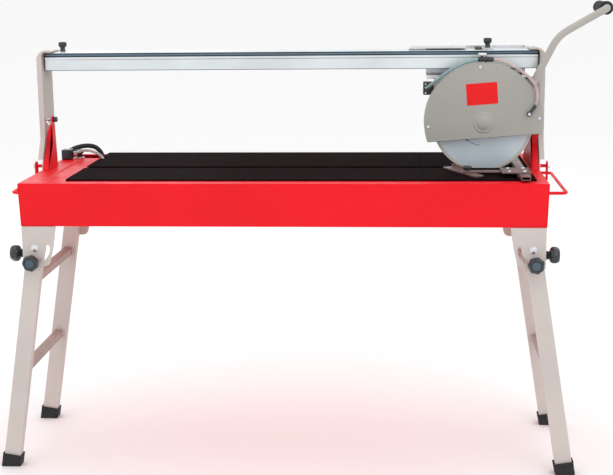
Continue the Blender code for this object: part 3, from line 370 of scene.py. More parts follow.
def tube(bm, points, radius, sides=16, closed=False, ripple=0.0, beads=0):
    """A round tube along points. A ripple makes it swell and shrink, like a weld's scales."""
    points = [Vector(p) for p in points]
    count = len(points)
    rings, normal = [], None
    for i, point in enumerate(points):
        ahead = points[(i + 1) % count] if closed else points[min(i + 1, count - 1)]
        behind = points[i - 1] if closed else points[max(i - 1, 0)]
        along = (ahead - behind).normalized()
        if normal is None:
            normal = along.orthogonal().normalized()
        normal = (normal - along * normal.dot(along)).normalized()
        across = along.cross(normal)
        reach = radius * (1 + ripple * math.cos(2 * math.pi * beads * i / count))
        rings.append([bm.verts.new(point + reach * (math.cos(a) * normal + math.sin(a) * across))
                      for a in (2 * math.pi * k / sides for k in range(sides))])
    for first, second in zip(rings, rings[1:]):
        quad_strip(bm, first, second)
    if closed:
        start = min(range(sides), key=lambda k: (rings[0][k].co - rings[-1][0].co).length)
        quad_strip(bm, rings[-1], rings[0][start:] + rings[0][:start])
    else:
        bm.faces.new(rings[0])
        bm.faces.new(rings[-1])


def flat_solid(bm, outline, place, low, high, holes=()):
    """A plate whose outline lies in a matrix's XY plane, between two heights."""
    edges = []
    for ring in (outline, *holes):
        verts = [bm.verts.new(place @ Vector((u, v, low))) for u, v in ring]
        edges += [bm.edges.new((verts[i], verts[(i + 1) % len(verts)])) for i in range(len(verts))]
    filled = bmesh.ops.triangle_fill(bm, use_beauty=True, edges=edges)["geom"]
    faces = [item for item in filled if isinstance(item, bmesh.types.BMFace)]
    raised = bmesh.ops.extrude_face_region(bm, geom=faces)["geom"]
    verts = [item for item in raised if isinstance(item, bmesh.types.BMVert)]
    bmesh.ops.translate(bm, verts=verts, vec=place.to_3x3() @ Vector((0, 0, high - low)))


def block(bm, low, high, bevel=0.0, place=Matrix.Identity(4), segments=3):
    """A box between two corners, with its edges rounded."""
    size = [h - l for l, h in zip(low, high)]
    centre = [0.5 * (l + h) for l, h in zip(low, high)]
    matrix = place @ Matrix.Translation(centre) @ Matrix.Diagonal((*size, 1.0))
    verts = bmesh.ops.create_cube(bm, size=1.0, matrix=matrix)["verts"]
    if bevel:
        edges = list({edge for vert in verts for edge in vert.link_edges})
        bmesh.ops.bevel(bm, geom=edges, offset=bevel, segments=segments, profile=0.5, affect="EDGES")


def arc(cx, cy, radius, first, last, steps):
    """Points round an arc, with its angles in degrees."""
    angles = [math.radians(first + (last - first) * i / steps) for i in range(steps + 1)]
    return [(cx + radius * math.cos(a), cy + radius * math.sin(a)) for a in angles]


def rounded_rectangle(half_u, half_v, radius, steps=6):
    points = []
    for corner, (su, sv) in enumerate(((1, 1), (-1, 1), (-1, -1), (1, -1))):
        points += arc(su * (half_u - radius), sv * (half_v - radius), radius, 90 * corner, 90 * corner + 90, steps)
    return points


def stepped(outline, step):
    """A closed outline with its long sides cut into steps."""
    points = []
    for i, (u, v) in enumerate(outline):
        next_u, next_v = outline[(i + 1) % len(outline)]
        steps = max(1, round(math.hypot(next_u - u, next_v - v) / step))
        points += [(u + (next_u - u) * k / steps, v + (next_v - v) * k / steps) for k in range(steps)]
    return points


def hex_head(bm, place, radius, height, washer):
    """A hexagon bolt head or nut on its washer."""
    base = 0.0012
    lathe(bm, [(0, base), (washer - 0.0003, base), (washer, 0.0009), (washer, 0)], place, 32)
    top = base + height
    lathe(bm, [(0, top - 0.0006), (0.45, top - 0.0004), (0.78, top), (1, top - 0.16 * height), (1, base)],
          place, 6, unit=radius)


def pan_head(bm, place, radius, height):
    """A round screw head with a socket in it."""
    lathe(bm, [(0, 0.35 * height), (0.36, 0.35 * height), (0.40, 0.96 * height), (0.50, height),
               (0.82, 0.86 * height), (0.97, 0.5 * height), (1, 0.12 * height), (1, 0)], place, 28, unit=radius)


def node_mesh(node):
    """A CAD node's shape as a clean mesh, to build a finer piece from."""
    bm = bmesh.new()
    bm.from_mesh(frame["nodes"][node].data)
    bmesh.ops.remove_doubles(bm, verts=bm.verts, dist=1e-5)
    return bm


def refined(node, bevel, material=None, crease=35):
    """A CAD solid with its folded or machined edges rounded."""
    bm = node_mesh(node)
    bmesh.ops.dissolve_limit(bm, angle_limit=math.radians(1), verts=bm.verts, edges=bm.edges)
    return dress(node, "_finish", bm, material, crease, bevel)


def softened(node, material, swell=0.0, name=None, replaced=True):
    """A CAD tube with its facets smoothed away. A negative swell makes a core that lies inside it."""
    bm = node_mesh(node)
    bmesh.ops.join_triangles(bm, faces=bm.faces, angle_face_threshold=math.radians(50),
                             angle_shape_threshold=math.radians(70))
    bm.normal_update()
    moves = [(vert, vert.normal.copy()) for vert in bm.verts]
    for vert, normal in moves:
        vert.co += swell * normal
    crease = bm.edges.layers.float.new("crease_edge")
    for edge in bm.edges:
        if len(edge.link_faces) == 2 and edge.calc_face_angle() > math.radians(60):
            edge[crease] = 0.8
    obj = piece(name or node + "_finish", bm, BODY_OF[node], material,
                (node,) if replaced else (), 180)
    smooth = obj.modifiers.new("smooth", "SUBSURF")
    smooth.levels = 2
    smooth.render_levels = 2
    return obj


# ---------------------------------------------------------------- knobs and clamps

def stud_knob(node, axis, depth, stud):
    """A lobed clamp knob with a cap in its crown, a ribbed neck and a threaded stud."""
    low, high, middle = span(node)
    axis = Vector(axis)
    across = [i for i in range(3) if abs(axis[i]) < 0.5][0]
    radius = 0.5 * (high[across] - low[across])
    tip = high if sum(axis) > 0 else low
    place = facing(middle + axis * ((tip - middle).dot(axis) - depth), axis)
    lobe = 0.0013
    ridge = 0.0008 / radius
    bm = bmesh.new()
    lathe(bm, [(0, depth - 0.0020), (0.56, depth - 0.0020), (0.60, depth - 0.0005), (0.65, depth),
               (0.76, depth - 0.0006), (0.90, depth - 0.0036, lobe), (0.98, depth - 0.0075, lobe),
               (1, depth - 0.0115, lobe), (0.98, depth - 0.0165, lobe), (0.90, depth - 0.0195, lobe),
               (0.74, depth - 0.0220, 0.5 * lobe), (0.52, depth - 0.0235), (0.46, 0.0085)]
          + [(0.46 + ridge * (i % 2), 0.0080 - 0.0012 * i) for i in range(5)]
          + [(0.58, 0.0018), (0.58, 0), (0, 0)], place, 84, 7, radius)
    dress(node, "_finish", bm, "knob_plastic", 42)
    bm = bmesh.new()
    lathe(bm, [(0, depth - 0.0004), (0.40, depth - 0.0006), (0.52, depth - 0.0010), (0.545, depth - 0.0019)],
          place, unit=radius)
    dress(node, "_cap", bm, "knob_cap")
    bm = bmesh.new()
    thread = [(0.0038 - 0.0004 * (i % 2), -0.0005 * i) for i in range(1, int(stud / 0.0005))]
    lathe(bm, [(0.0038, 0.0)] + thread + [(0.0028, -stud), (0, -stud)], place, 24)
    dress(node, "_stud", bm, "fastener", 60)


def hand_knob(node, lobes, washer_material):
    """A waisted knob with flutes down its crown, standing on a washer."""
    low, high, middle = span(node)
    radius, height = 0.5 * (high.y - low.y), high.z - low.z
    place = Matrix.Translation((middle.x, middle.y, low.z))
    cut = 0.0012
    bm = bmesh.new()
    lathe(bm, [(0, height - 0.0010), (0.50, height - 0.0009), (0.56, height - 0.0002), (0.80, height, 0.3 * cut),
               (0.95, height - 0.0009, cut), (1, height - 0.0026, cut), (1, 0.66 * height, cut),
               (0.96, 0.58 * height, cut), (0.80, 0.50 * height, 0.4 * cut), (0.62, 0.44 * height),
               (0.58, 0.30 * height), (0.60, 0.18 * height), (0.72, 0.12 * height), (0.72, 0.02 * height),
               (0.70, 0), (0, 0)], place, 96, lobes, radius)
    dress(node, "_finish", bm, "knob_plastic", 42)
    bm = bmesh.new()
    lathe(bm, [(0.74, 0), (1.05, 0), (1.05, 0.0009), (0.98, 0.0013), (0.74, 0.0013), (0.74, 0)], place, unit=radius)
    dress(node, "_washer", bm, washer_material)


def tilt_clamp(side, sign):
    """The clamp bolt of one post: a fluted head inside, and a nut and washer out in the channel."""
    node = "tilt_clamp_" + side
    low, high, middle = span(node)
    radius = 0.5 * (high.z - low.z)
    place = facing((low.x if sign > 0 else high.x, middle.y, middle.z), (sign, 0, 0))
    bm = bmesh.new()
    lathe(bm, [(0, 0.0006), (0.5, 0.0005), (0.58, 0), (0.80, 0.0002, 0.0006), (0.88, 0.0012, 0.0008),
               (0.88, 0.0092, 0.0008), (0.80, 0.0099, 0.0004), (0, 0.0099)], place, 72, 12, radius)
    dress(node, "_finish", bm, "knob_plastic", 42)
    bm = bmesh.new()
    thread = [(0.0040 - 0.0004 * (i % 2), 0.0100 + 0.0006 * i) for i in range(48)]
    lathe(bm, [(0, 0.0099)] + thread + [(0, 0.0392)], place, 20)
    lathe(bm, [(0.0041, 0.0333), (radius, 0.0333), (radius, 0.0343), (0.0041, 0.0343)], place, 32)
    lathe(bm, [(0.0041, 0.0344), (0.90 * radius, 0.0344), (0.95 * radius, 0.0350), (0.95 * radius, 0.0382),
               (0.82 * radius, 0.0390), (0.0041, 0.0386)], place, 6)
    dress(node, "_bolt", bm, "fastener", 30)


def make_knobs():
    for side, sign in SIDES:
        stud_knob("leg_lock_knob_" + side, (0, -1, 0), 0.034, 0.011)
        stud_knob("side_knob_" + side, (sign, 0, 0), 0.0325, 0.0055)
        tilt_clamp(side, sign)
    hand_knob("corner_knob", 6, "white_plastic")
    hand_knob("rail_stop_knob", 12, "fastener")
    hand_knob("carriage_lock_knob", 12, "fastener")


# ---------------------------------------------------------------- tray, table and deck

def make_tray():
    refined("tray", 0.0007)
    refined("left_deck", 0.0006)
    for node in ("table_front", "table_rear"):
        refined(node, 0.0005)
    deck_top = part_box("left_deck")[1].z
    low, high, middle = span("tray")
    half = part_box("table_front")[1].x + 0.0255 - middle.x
    bead, taper, steps = 0.0011, 0.003, 60
    bm = bmesh.new()
    for sign in (-1, 1):
        for y, inward in ((low.y, 1), (high.y, -1)):
            top = Vector((middle.x + sign * half, y, deck_top))
            foot = Vector((top.x - sign * taper, y + inward * taper, low.z))
            tube(bm, [foot.lerp(top, (i + 0.5) / steps) for i in range(steps)], bead, 8, ripple=0.12, beads=20)
    dress("tray", "_corner_welds", bm, crease=60)


def make_carry_handles():
    """A bent rod at each end, with a fillet of weld where it meets the wall."""
    for side, sign in SIDES:
        node = "carry_handle_" + side
        low, high, middle = span(node)
        radius = 0.5 * (high.z - low.z) * 1.05
        z = middle.z
        wall, reach = (low.x, high.x - radius) if sign > 0 else (high.x, low.x + radius)
        front, back, bend = low.y + radius, high.y - radius, 0.014
        knee = reach - sign * bend
        quarter = [(bend * math.sin(0.5 * math.pi * i / 10), bend * (1 - math.cos(0.5 * math.pi * i / 10)))
                   for i in range(11)]
        line = [(wall, front, z)] + [(knee + sign * u, front + v, z) for u, v in quarter]
        line += [(knee + sign * u, back - v, z) for u, v in reversed(quarter)] + [(wall, back, z)]
        bm = bmesh.new()
        tube(bm, line, radius, 20)
        dress(node, "_finish", bm, crease=60)
        bm = bmesh.new()
        for y in (front, back):
            ring = [(wall + sign * 0.0006, y + (radius + 0.0004) * math.cos(a), z + (radius + 0.0004) * math.sin(a))
                    for a in (2 * math.pi * i / 72 for i in range(72))]
            tube(bm, ring, 0.0013, 8, closed=True, ripple=0.2, beads=18)
        dress(node, "_welds", bm, crease=60)


def make_tilt_brackets():
    """The red uprights, with the bolts that hold their feet and the nuts on the tilt pins."""
    tilt = joint_place("gantry_tilt")
    for side, sign in SIDES:
        node = "tilt_bracket_" + side
        refined(node, 0.0005)
        low, high, middle = span(node)
        feet = (0.026, 0.048) if side == "left" else (0.026, 0.048, 0.110, 0.185)
        spots = [(middle.x + sign * 0.0018, tilt.y + y, low.z + 0.0025) for y in feet]
        fixings(node + "_bolts", "base", hex_head, (0.0042, 0.0032, 0.0056),
                [Matrix.Translation(spot) for spot in spots])
        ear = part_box("carry_handle_" + side)[0 if sign > 0 else 1].x + sign * 0.0236
        fixings("tilt_pin_nut_" + side, "base", hex_head, (0.0072, 0.0048, 0.0085),
                [facing((ear, tilt.y, tilt.z), (sign, 0, 0))])


# ---------------------------------------------------------------- legs

def leg_line(side, sign, end):
    """The fold pivot's place on one leg and the direction that the leg runs down in."""
    pivot = joint_place("legs_%s_fold" % side)
    start = Vector((pivot.x, span("leg_%s_%s" % (end, side))[2].y, pivot.z))
    return start, Vector((sign * math.sin(LEAN), 0, -math.cos(LEAN)))


def make_boot(side, sign, end):
    """A moulded rubber boot with a rolled top edge and ribs round its foot."""
    node = "foot_%s_%s" % (end, side)
    refined(node, 0.0014)
    start, down = leg_line(side, sign, end)
    low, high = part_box(node)
    half_w, half_d = 0.0235, 0.5 * (high.y - low.y)
    across = Vector((down.z, 0, -down.x))
    length = (low.z - start.z) / down.z
    bm = bmesh.new()
    for offset, bead in ((0.0310, 0.0011), (0.0245, 0.0006), (0.0215, 0.0006)):
        centre = start + down * (length - offset)
        ring = [centre + across * u + Y * v for u, v in rounded_rectangle(half_w, half_d, 0.0025, 5)]
        tube(bm, ring, bead, 8, closed=True)
    dress(node, "_ribs", bm, crease=70)


def make_pivot_rivet(side, end):
    """The bright domed head of a fold pivot, on its washer."""
    node = "leg_bracket_%s_%s" % (end, side)
    low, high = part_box(node)
    pivot = joint_place("legs_%s_fold" % side)
    out = -1 if end == "front" else 1
    y = low.y + 0.0035 if end == "front" else high.y - 0.0035
    bm = bmesh.new()
    lathe(bm, [(0, 0.0042), (0.0025, 0.0040), (0.0050, 0.0034), (0.0068, 0.0022), (0.0074, 0.0010),
               (0.0088, 0.0010), (0.0092, 0.0006), (0.0092, 0)], facing((pivot.x, y, pivot.z), (0, out, 0)), 40)
    piece("pivot_rivet_%s_%s" % (end, side), bm, "base", "fastener", crease=50)


def make_legs():
    for side, sign in SIDES:
        for end in ("front", "rear"):
            refined("leg_%s_%s" % (end, side), 0.0009)
            refined("leg_bracket_%s_%s" % (end, side), 0.0005)
            make_boot(side, sign, end)
            make_pivot_rivet(side, end)
        for level in ("upper", "lower"):
            node = "cross_bar_%s_%s" % (level, side)
            # The cross bars get painted shade: a darker, browner copy of the leg paint.
            refined(node, 0.0007, "frame_painted_shade")
            low, high, middle = span(node)
            down = leg_line(side, sign, "front")[1]
            across = Vector((down.z, 0, -down.x))
            corners = stepped(rounded_rectangle(0.0104, 0.0104, 0.002, 3), 0.0006)
            bm = bmesh.new()
            for y in (low.y + 0.0008, high.y - 0.0008):
                centre = Vector((middle.x, y, middle.z))
                ring = [centre + across * u + down * v for u, v in corners]
                tube(bm, ring, 0.0016, 8, closed=True, ripple=0.18, beads=32)
            dress(node, "_welds", bm, "grey_paint", 60)


# ---------------------------------------------------------------- gantry and carriage

def make_gantry():
    """Rail and posts, with painted shade in the rail's groove and along its lower front edge, and the bolts through
    each post into the rail's end.
    """
    refined("rail", 0.0004)
    rail_low, rail_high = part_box("rail")
    lip, groove = rail_low.y + 0.0015, rail_low.y + 0.0075
    top = rail_high.z
    # A dark strip that fills the rail's groove: painted shade.
    line = [(lip + 0.0004, top - 0.0123), (groove - 0.0003, top - 0.0097), (groove - 0.0003, top - 0.0043),
            (lip + 0.0006, top - 0.0024), (lip - 0.0006, top - 0.0026), (groove - 0.0016, top - 0.0050),
            (groove - 0.0016, top - 0.0090), (lip - 0.0006, top - 0.0112)]
    bm = bmesh.new()
    rings = [[bm.verts.new((x, y, z)) for y, z in line] for x in (rail_low.x, rail_high.x)]
    quad_strip(bm, *rings)
    for ring in rings:
        bm.faces.new(ring)
    # A thin dark strip along the rail's lower front edge: painted shade.
    block(bm, (rail_low.x, lip - 0.0003, rail_low.z), (rail_high.x, lip + 0.0006, rail_low.z + 0.0017), 0.0002)
    dress("rail", "_groove_painted_shade", bm, "rail_painted_shade")
    for side, sign in SIDES:
        node = "post_" + side
        refined(node, 0.0005)
        web = (rail_high if sign > 0 else rail_low).x + sign * 0.0073
        fixings(node + "_bolts", "gantry", hex_head, (0.0062, 0.0048, 0.0085),
                [facing((web, rail_low.y + y, rail_high.z - 0.024), (sign, 0, 0)) for y in (0.026, 0.047)])


def make_carriage():
    """The zinc carriage, its screws, the pad under its lock and its rollers."""
    refined("carriage_frame", 0.0004)
    low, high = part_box("carriage_frame")
    rail_low, rail_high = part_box("rail")
    bm = bmesh.new()
    for x in (low.x + 0.020, low.x + 0.120, high.x - 0.100, high.x - 0.020):
        for z in (rail_high.z - 0.010, rail_low.z + 0.010):
            pan_head(bm, facing((x, high.y, z), Y), 0.0050, 0.0032)
    for x in (low.x + 0.022, low.x + 0.110):
        pan_head(bm, Matrix.Translation((x, high.y - 0.025, rail_high.z + 0.0075)), 0.0045, 0.0026)
    for label in ("left", "right"):
        axle = joint_place("roller_%s_spin" % label)
        hex_head(bm, facing((axle.x, high.y, axle.z), Y), 0.0056, 0.0040, 0.0075)
    piece("carriage_screws", bm, "carriage", "fastener", crease=30)
    lock = joint_place("carriage_lock_knob_turn")
    bm = bmesh.new()
    block(bm, (lock.x - 0.0310, lock.y - 0.0120, rail_high.z + 0.0004),
          (lock.x - 0.0145, lock.y + 0.0300, lock.z + 0.0030), 0.0008)
    piece("carriage_lock_pad", bm, "carriage", "olive_plastic", crease=40)
    for label in ("left", "right"):
        make_roller(label)


def make_roller(label):
    node = "roller_" + label
    low, high, middle = span(node)
    radius, half = 0.5 * (high.z - low.z), 0.5 * (high.y - low.y)
    bore = 0.0032 / radius
    half_line = [(bore, half), (0.62, half), (0.66, half - 0.0006), (0.90, half - 0.0002), (1, half - 0.0012),
                 (1, 0.58 * half), (0.80, 0.40 * half)]
    bm = bmesh.new()
    lathe(bm, half_line + [(r, -h) for r, h in reversed(half_line)] + [(bore, half)], facing(middle, Y),
          unit=radius)
    dress(node, "_finish", bm, "black_plastic")


# ---------------------------------------------------------------- guard and blade

GUARD_R = 0.5 * (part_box("guard_cover")[1].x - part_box("guard_cover")[0].x)
GUARD_FLAT = 0.037
COVER_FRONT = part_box("guard_cover")[0].y + 0.0075
COVER_THICK = 0.003
GUARD_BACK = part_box("guard_body")[1].y
HEAD_PLACE = Matrix.Translation((BLADE_CENTRE.x, 0, BLADE_CENTRE.z)) @ Matrix.Rotation(math.radians(90), 4, "X")


def on_head(u, v, y):
    """A place beside the blade's centre, u along +X and v up, at a depth along Y."""
    return Vector((BLADE_CENTRE.x + u, y, BLADE_CENTRE.z + v))


def rolled(u, v):
    """Head axes: the guard is turned a little about the blade's centre."""
    c, s = math.cos(GUARD_ROLL), math.sin(GUARD_ROLL)
    return u * c - v * s, u * s + v * c


def guard_arc(radius, drop, steps=96):
    """The guard's outline down to its mouth, which lies drop under the blade's centre."""
    dip = math.degrees(math.asin(drop / radius))
    roll = math.degrees(GUARD_ROLL)
    return arc(0, 0, radius, -dip + roll, 180 + dip + roll, steps)


def make_guard_cover():
    """The front sheet with a rolled mouth, its pressed hub and its screws."""
    bm = bmesh.new()
    flat_solid(bm, guard_arc(GUARD_R, GUARD_FLAT), HEAD_PLACE, -COVER_FRONT - COVER_THICK, -COVER_FRONT)
    piece("guard_cover_finish", bm, "head", "guard_paint", ("guard_cover",), 35, 0.0007)
    bm = bmesh.new()
    hub = [(0, 0.0075), (0.0040, 0.0074), (0.0085, 0.0069), (0.0125, 0.0058), (0.0156, 0.0043), (0.0176, 0.0030),
           (0.0186, 0.0022), (0.0196, 0.0020), (0.0212, 0.0022), (0.0228, 0.0021), (0.0243, 0.0015),
           (0.0255, 0.0006), (0.0264, 0.0001), (0.0266, -0.0004)]
    lathe(bm, hub, facing(on_head(0, 0, COVER_FRONT), -Y), 72)
    piece("guard_hub", bm, "head", "guard_paint", crease=50)
    spots = [rolled(*spot) for spot in ((0.1365, 0), (0, 0.1365), (-0.1365, 0))]
    fixings("guard_screws", "head", pan_head, (0.0044, 0.0026),
            [facing(on_head(u, v, COVER_FRONT), -Y) for u, v in spots])
    half = math.sqrt(GUARD_R ** 2 - GUARD_FLAT ** 2) - 0.002
    ends = [rolled(-half, -GUARD_FLAT + 0.0006), rolled(half, -GUARD_FLAT + 0.0006)]
    bm = bmesh.new()
    tube(bm, [on_head(u, v, COVER_FRONT + 0.5 * COVER_THICK) for u, v in ends], 0.0020, 12)
    piece("guard_mouth_hem", bm, "head", "guard_paint", crease=50)


def make_guard_body():
    """The rear half: a pressed shell whose rim laps behind the cover."""
    outline = guard_arc(GUARD_R - 0.0002, GUARD_FLAT)
    front = COVER_FRONT + COVER_THICK + 0.0003
    bm = bmesh.new()
    back = [bm.verts.new(on_head(u, v, GUARD_BACK)) for u, v in outline]
    bore = [bm.verts.new(on_head(u, v, GUARD_BACK)) for u, v in arc(0, 0, 0.014, 0, 352.5, 47)]
    edges = [bm.edges.new((back[i], back[(i + 1) % len(back)])) for i in range(len(back))]
    edges += [bm.edges.new((bore[i], bore[(i + 1) % len(bore)])) for i in range(len(bore))]
    bmesh.ops.triangle_fill(bm, use_beauty=True, edges=edges)
    rings = [back]
    for inset, y in ((0.0, front + 0.004), (0.0012, front + 0.003), (0.0012, front)):
        shape = guard_arc(GUARD_R - 0.0002 - inset, GUARD_FLAT)
        rings.append([bm.verts.new(on_head(u, v, y)) for u, v in shape])
    for first, second in zip(rings, rings[1:]):
        for i in range(len(first) - 1):
            bm.faces.new((first[i], first[i + 1], second[i + 1], second[i]))
    obj = piece("guard_body_finish", bm, "head", "guard_paint", ("guard_body",), 35)
    outward = obj.data.polygons[0].normal.y > 0
    wall = obj.modifiers.new("wall", "SOLIDIFY")
    wall.thickness = 0.0024
    wall.offset = -1 if outward else 1
    round_edges(obj, 0.0006, 2)


def make_label():
    """A plain red plate with a raised border. Nothing is written on it."""
    centre = rolled(0.0005, 0.0710)
    turn = Matrix.Translation(on_head(*centre, COVER_FRONT)) @ Matrix.Rotation(-GUARD_ROLL, 4, "Y")
    turn = turn @ Matrix.Rotation(math.radians(90), 4, "X")
    half_u, half_v = 0.038, 0.0265
    bm = bmesh.new()
    flat_solid(bm, rounded_rectangle(half_u, half_v, 0.0012), turn, -0.0002, 0.0005)
    piece("label_plate", bm, "head", "label_red", bevel=0.0002)
    bm = bmesh.new()
    flat_solid(bm, rounded_rectangle(half_u - 0.0015, half_v - 0.0015, 0.001), turn, 0.0003, 0.0008,
               holes=(rounded_rectangle(half_u - 0.0023, half_v - 0.0023, 0.0006),))
    piece("label_border", bm, "head", "label_red", bevel=0.0001)


def make_blade():
    """A ground steel disc with a continuous diamond rim and a turning-direction arrow."""
    face = facing(BLADE_CENTRE, -Y)
    core, rim, edge = 0.0009, 0.0013, BLADE_RADIUS - 0.0075
    bm = bmesh.new()
    lathe(bm, [(0.0112, core), (edge, core), (edge, -core), (0.0112, -core), (0.0112, core)], face, 160)
    piece("blade_core", bm, "spindle", "steel", ("blade",), 30)
    bm = bmesh.new()
    ring = [(edge - 0.0006, core - 0.0001), (edge - 0.0002, rim - 0.0002), (edge + 0.0006, rim),
            (BLADE_RADIUS - 0.0004, rim), (BLADE_RADIUS, rim - 0.0004)]
    lathe(bm, ring + [(r, -h) for r, h in reversed(ring)], face, 160)
    dress("blade", "_rim", bm, "blade_rim", 30)
    bm = bmesh.new()
    arrow, radius, half = [], 0.0600, 0.0006
    arrow += arc(0, 0, radius + half, -95, -128, 16) + [(0, 0)] + arc(0, 0, radius - half, -128, -95, 16)
    tip = (radius * math.cos(math.radians(-135)), radius * math.sin(math.radians(-135)))
    barbs = [arc(0, 0, radius + s * 0.0024, -128, -128, 1)[0] for s in (1, -1)]
    arrow[17:18] = [barbs[0], tip, barbs[1]]
    flat_solid(bm, arrow, HEAD_PLACE, -BLADE_CENTRE.y + core - 0.0001, -BLADE_CENTRE.y + core + 0.0001)
    dress("blade", "_arrow", bm, "print_ink")
    refined("arbor", 0.0004, "shaft_steel")


# ---------------------------------------------------------------- motor, switch and handle

def make_motor():
    """A finned induction motor: front flange, ribbed barrel and slotted fan cowl."""
    low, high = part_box("motor")
    centre = Vector((BLADE_CENTRE.x, low.y, BLADE_CENTRE.z))
    place = facing(centre, Y)
    length, radius = high.y - low.y, 0.5 * (high.x - low.x)
    bm = bmesh.new()
    lathe(bm, [(0, 0), (radius - 0.0015, 0), (radius, 0.0015), (radius, 0.0200), (radius - 0.002, 0.0225),
               (0.044, 0.0240), (0.044, 0.176), (0.050, 0.1765), (radius - 0.0025, 0.1780), (radius - 0.002, 0.1800),
               (radius - 0.002, length - 0.010), (radius - 0.004, length - 0.004), (radius - 0.009, length - 0.001),
               (0.040, length)] + [(0.038 - 0.0036 * i, length - (0.0016 if i % 2 == 0 else 0.0)) for i in range(9)]
          + [(0, length)], place, 72)
    dress("motor", "_finish", bm, crease=30)
    bm = bmesh.new()
    fins = 36
    for i in range(fins):
        turn = place @ Matrix.Rotation(2 * math.pi * (i + 0.5) / fins, 4, "Z")
        block(bm, (0.043, -0.0008, 0.0235), (radius - 0.0015, 0.0008, 0.1765), 0.0004, turn, 1)
    dress("motor", "_fins", bm, crease=40)
    corners = arc(0, 0, radius - 0.007, 45, 315, 3)
    fixings("motor_screws", "head", pan_head, (0.0032, 0.0022),
            [place @ Matrix.Translation((u, v, length - 0.0014)) for u, v in corners])
    bm = bmesh.new()
    for i in range(24):
        turn = place @ Matrix.Rotation(2 * math.pi * i / 24, 4, "Z")
        block(bm, (radius - 0.0030, -0.0018, 0.186), (radius - 0.0014, 0.0018, 0.204), 0.0005, turn, 1)
    dress("motor", "_cowl_ribs", bm, crease=40)


def make_switch_box():
    """The moulded switch box: a lid with a seam, its screws and a covered rocker."""
    refined("switch_box", 0.0006, "black_plastic")
    low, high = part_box("switch_box")
    bm = bmesh.new()
    block(bm, (low.x + 0.0020, low.y - 0.0014, low.z + 0.0020),
          (high.x - 0.0020, low.y + 0.0004, high.z - 0.0020), 0.0006)
    for z in (low.z + 0.0065, high.z - 0.0065):
        block(bm, (low.x + 0.010, low.y - 0.0024, z - 0.0008), (high.x - 0.004, low.y - 0.0010, z + 0.0008), 0.0003)
    dress("switch_box", "_lid", bm)
    fixings("switch_box_screws", "head", pan_head, (0.0022, 0.0013),
            [facing((low.x + 0.0060, low.y - 0.0014, z), -Y) for z in (low.z + 0.0050, high.z - 0.0050)])
    refined("head_arm", 0.0014, "cast_paint")


HANDLE_RADIUS = 0.009
HANDLE_FOOT, HANDLE_ELBOW, HANDLE_TIP = (0.1205, 0.0930), (0.1785, 0.2090), (0.2785, 0.2660)
HANDLE_DEPTH = -0.007


def bend(start, corner, end, steps):
    """A curve from start to end that leaves and arrives along the lines to the corner."""
    return [(1 - t) ** 2 * start + 2 * t * (1 - t) * corner + t ** 2 * end
            for t in (i / steps for i in range(steps + 1))]


def make_handle():
    """The bent tube, flattened onto a bolted plate at its foot, and the rubber grip on its turned end."""
    grip_low, grip_high, axis = span("handle_grip")
    y = BLADE_CENTRE.y + HANDLE_DEPTH
    foot, elbow, tip = (on_head(u, v, y) for u, v in (HANDLE_FOOT, HANDLE_ELBOW, HANDLE_TIP))
    first, second = (elbow - foot).normalized(), (tip - elbow).normalized()
    line = [foot, foot.lerp(elbow, 0.35)]
    line += bend(elbow - 0.028 * first, elbow, elbow + 0.028 * second, 14) + [elbow.lerp(tip, 0.7)]
    turn_in = Vector((axis.x, y, axis.z))
    line += bend(turn_in - 0.014 * second, turn_in, turn_in + 0.012 * Y, 8)
    line.append(Vector((axis.x, grip_low.y + 0.002, axis.z)))
    bm = bmesh.new()
    tube(bm, line, HANDLE_RADIUS, 24)
    piece("handle_tube_finish", bm, "head", "handle_paint", ("handle_tube",), 50)
    plate_low = on_head(0.0725, 0.0610, GUARD_BACK + 0.0005)
    plate_high = on_head(0.1375, 0.1090, GUARD_BACK + 0.0045)
    bm = bmesh.new()
    block(bm, plate_low, plate_high, 0.0012)
    block(bm, on_head(0.1165, 0.0930, y - 0.002), plate_high, 0.0010)
    piece("handle_plate", bm, "head", "guard_paint")
    spots = ((0.084, 0.072), (0.106, 0.072), (0.095, 0.098))
    fixings("handle_plate_bolts", "head", hex_head, (0.0052, 0.0040, 0.0070),
            [facing(on_head(u, v, plate_high.y), Y) for u, v in spots])
    length = grip_high.y - grip_low.y
    radius = 0.5 * (grip_high.z - grip_low.z)
    profile = [(0, 0), (0.93, 0), (1, 0.0012), (1, 0.0052), (0.94, 0.0070), (0.80, 0.0095)]
    ribs = 11
    for i in range(ribs):
        t = i / (ribs - 1)
        swell = 0.90 + 0.035 * math.sin(math.pi * 2.0 * t)
        valley = swell - 0.0010 / radius
        z = 0.014 + t * (length - 0.034)
        profile += [(valley, z), (swell, z + 0.0012), (swell, z + 0.0056), (valley, z + 0.0068)]
    profile += [(0.95, length - 0.012), (0.93, length - 0.006), (0.80, length - 0.0018), (0.55, length - 0.0002),
                (0, length)]
    bm = bmesh.new()
    lathe(bm, profile, facing((axis.x, grip_low.y, axis.z), Y), unit=radius)
    dress("handle_grip", "_finish", bm, crease=40)


# ---------------------------------------------------------------- water line

def make_hoses():
    softened("feed_hose", "hose_blue", 0.0003)
    softened("branch_hose", "hose_pink", 0.0003)
    softened("drain_hose", "clear_hose", 0.0003)
    softened("drain_hose", "hose_water", -0.0013, "drain_hose_water", False)
    softened("supply_hose", "black_rubber", 0.0005)


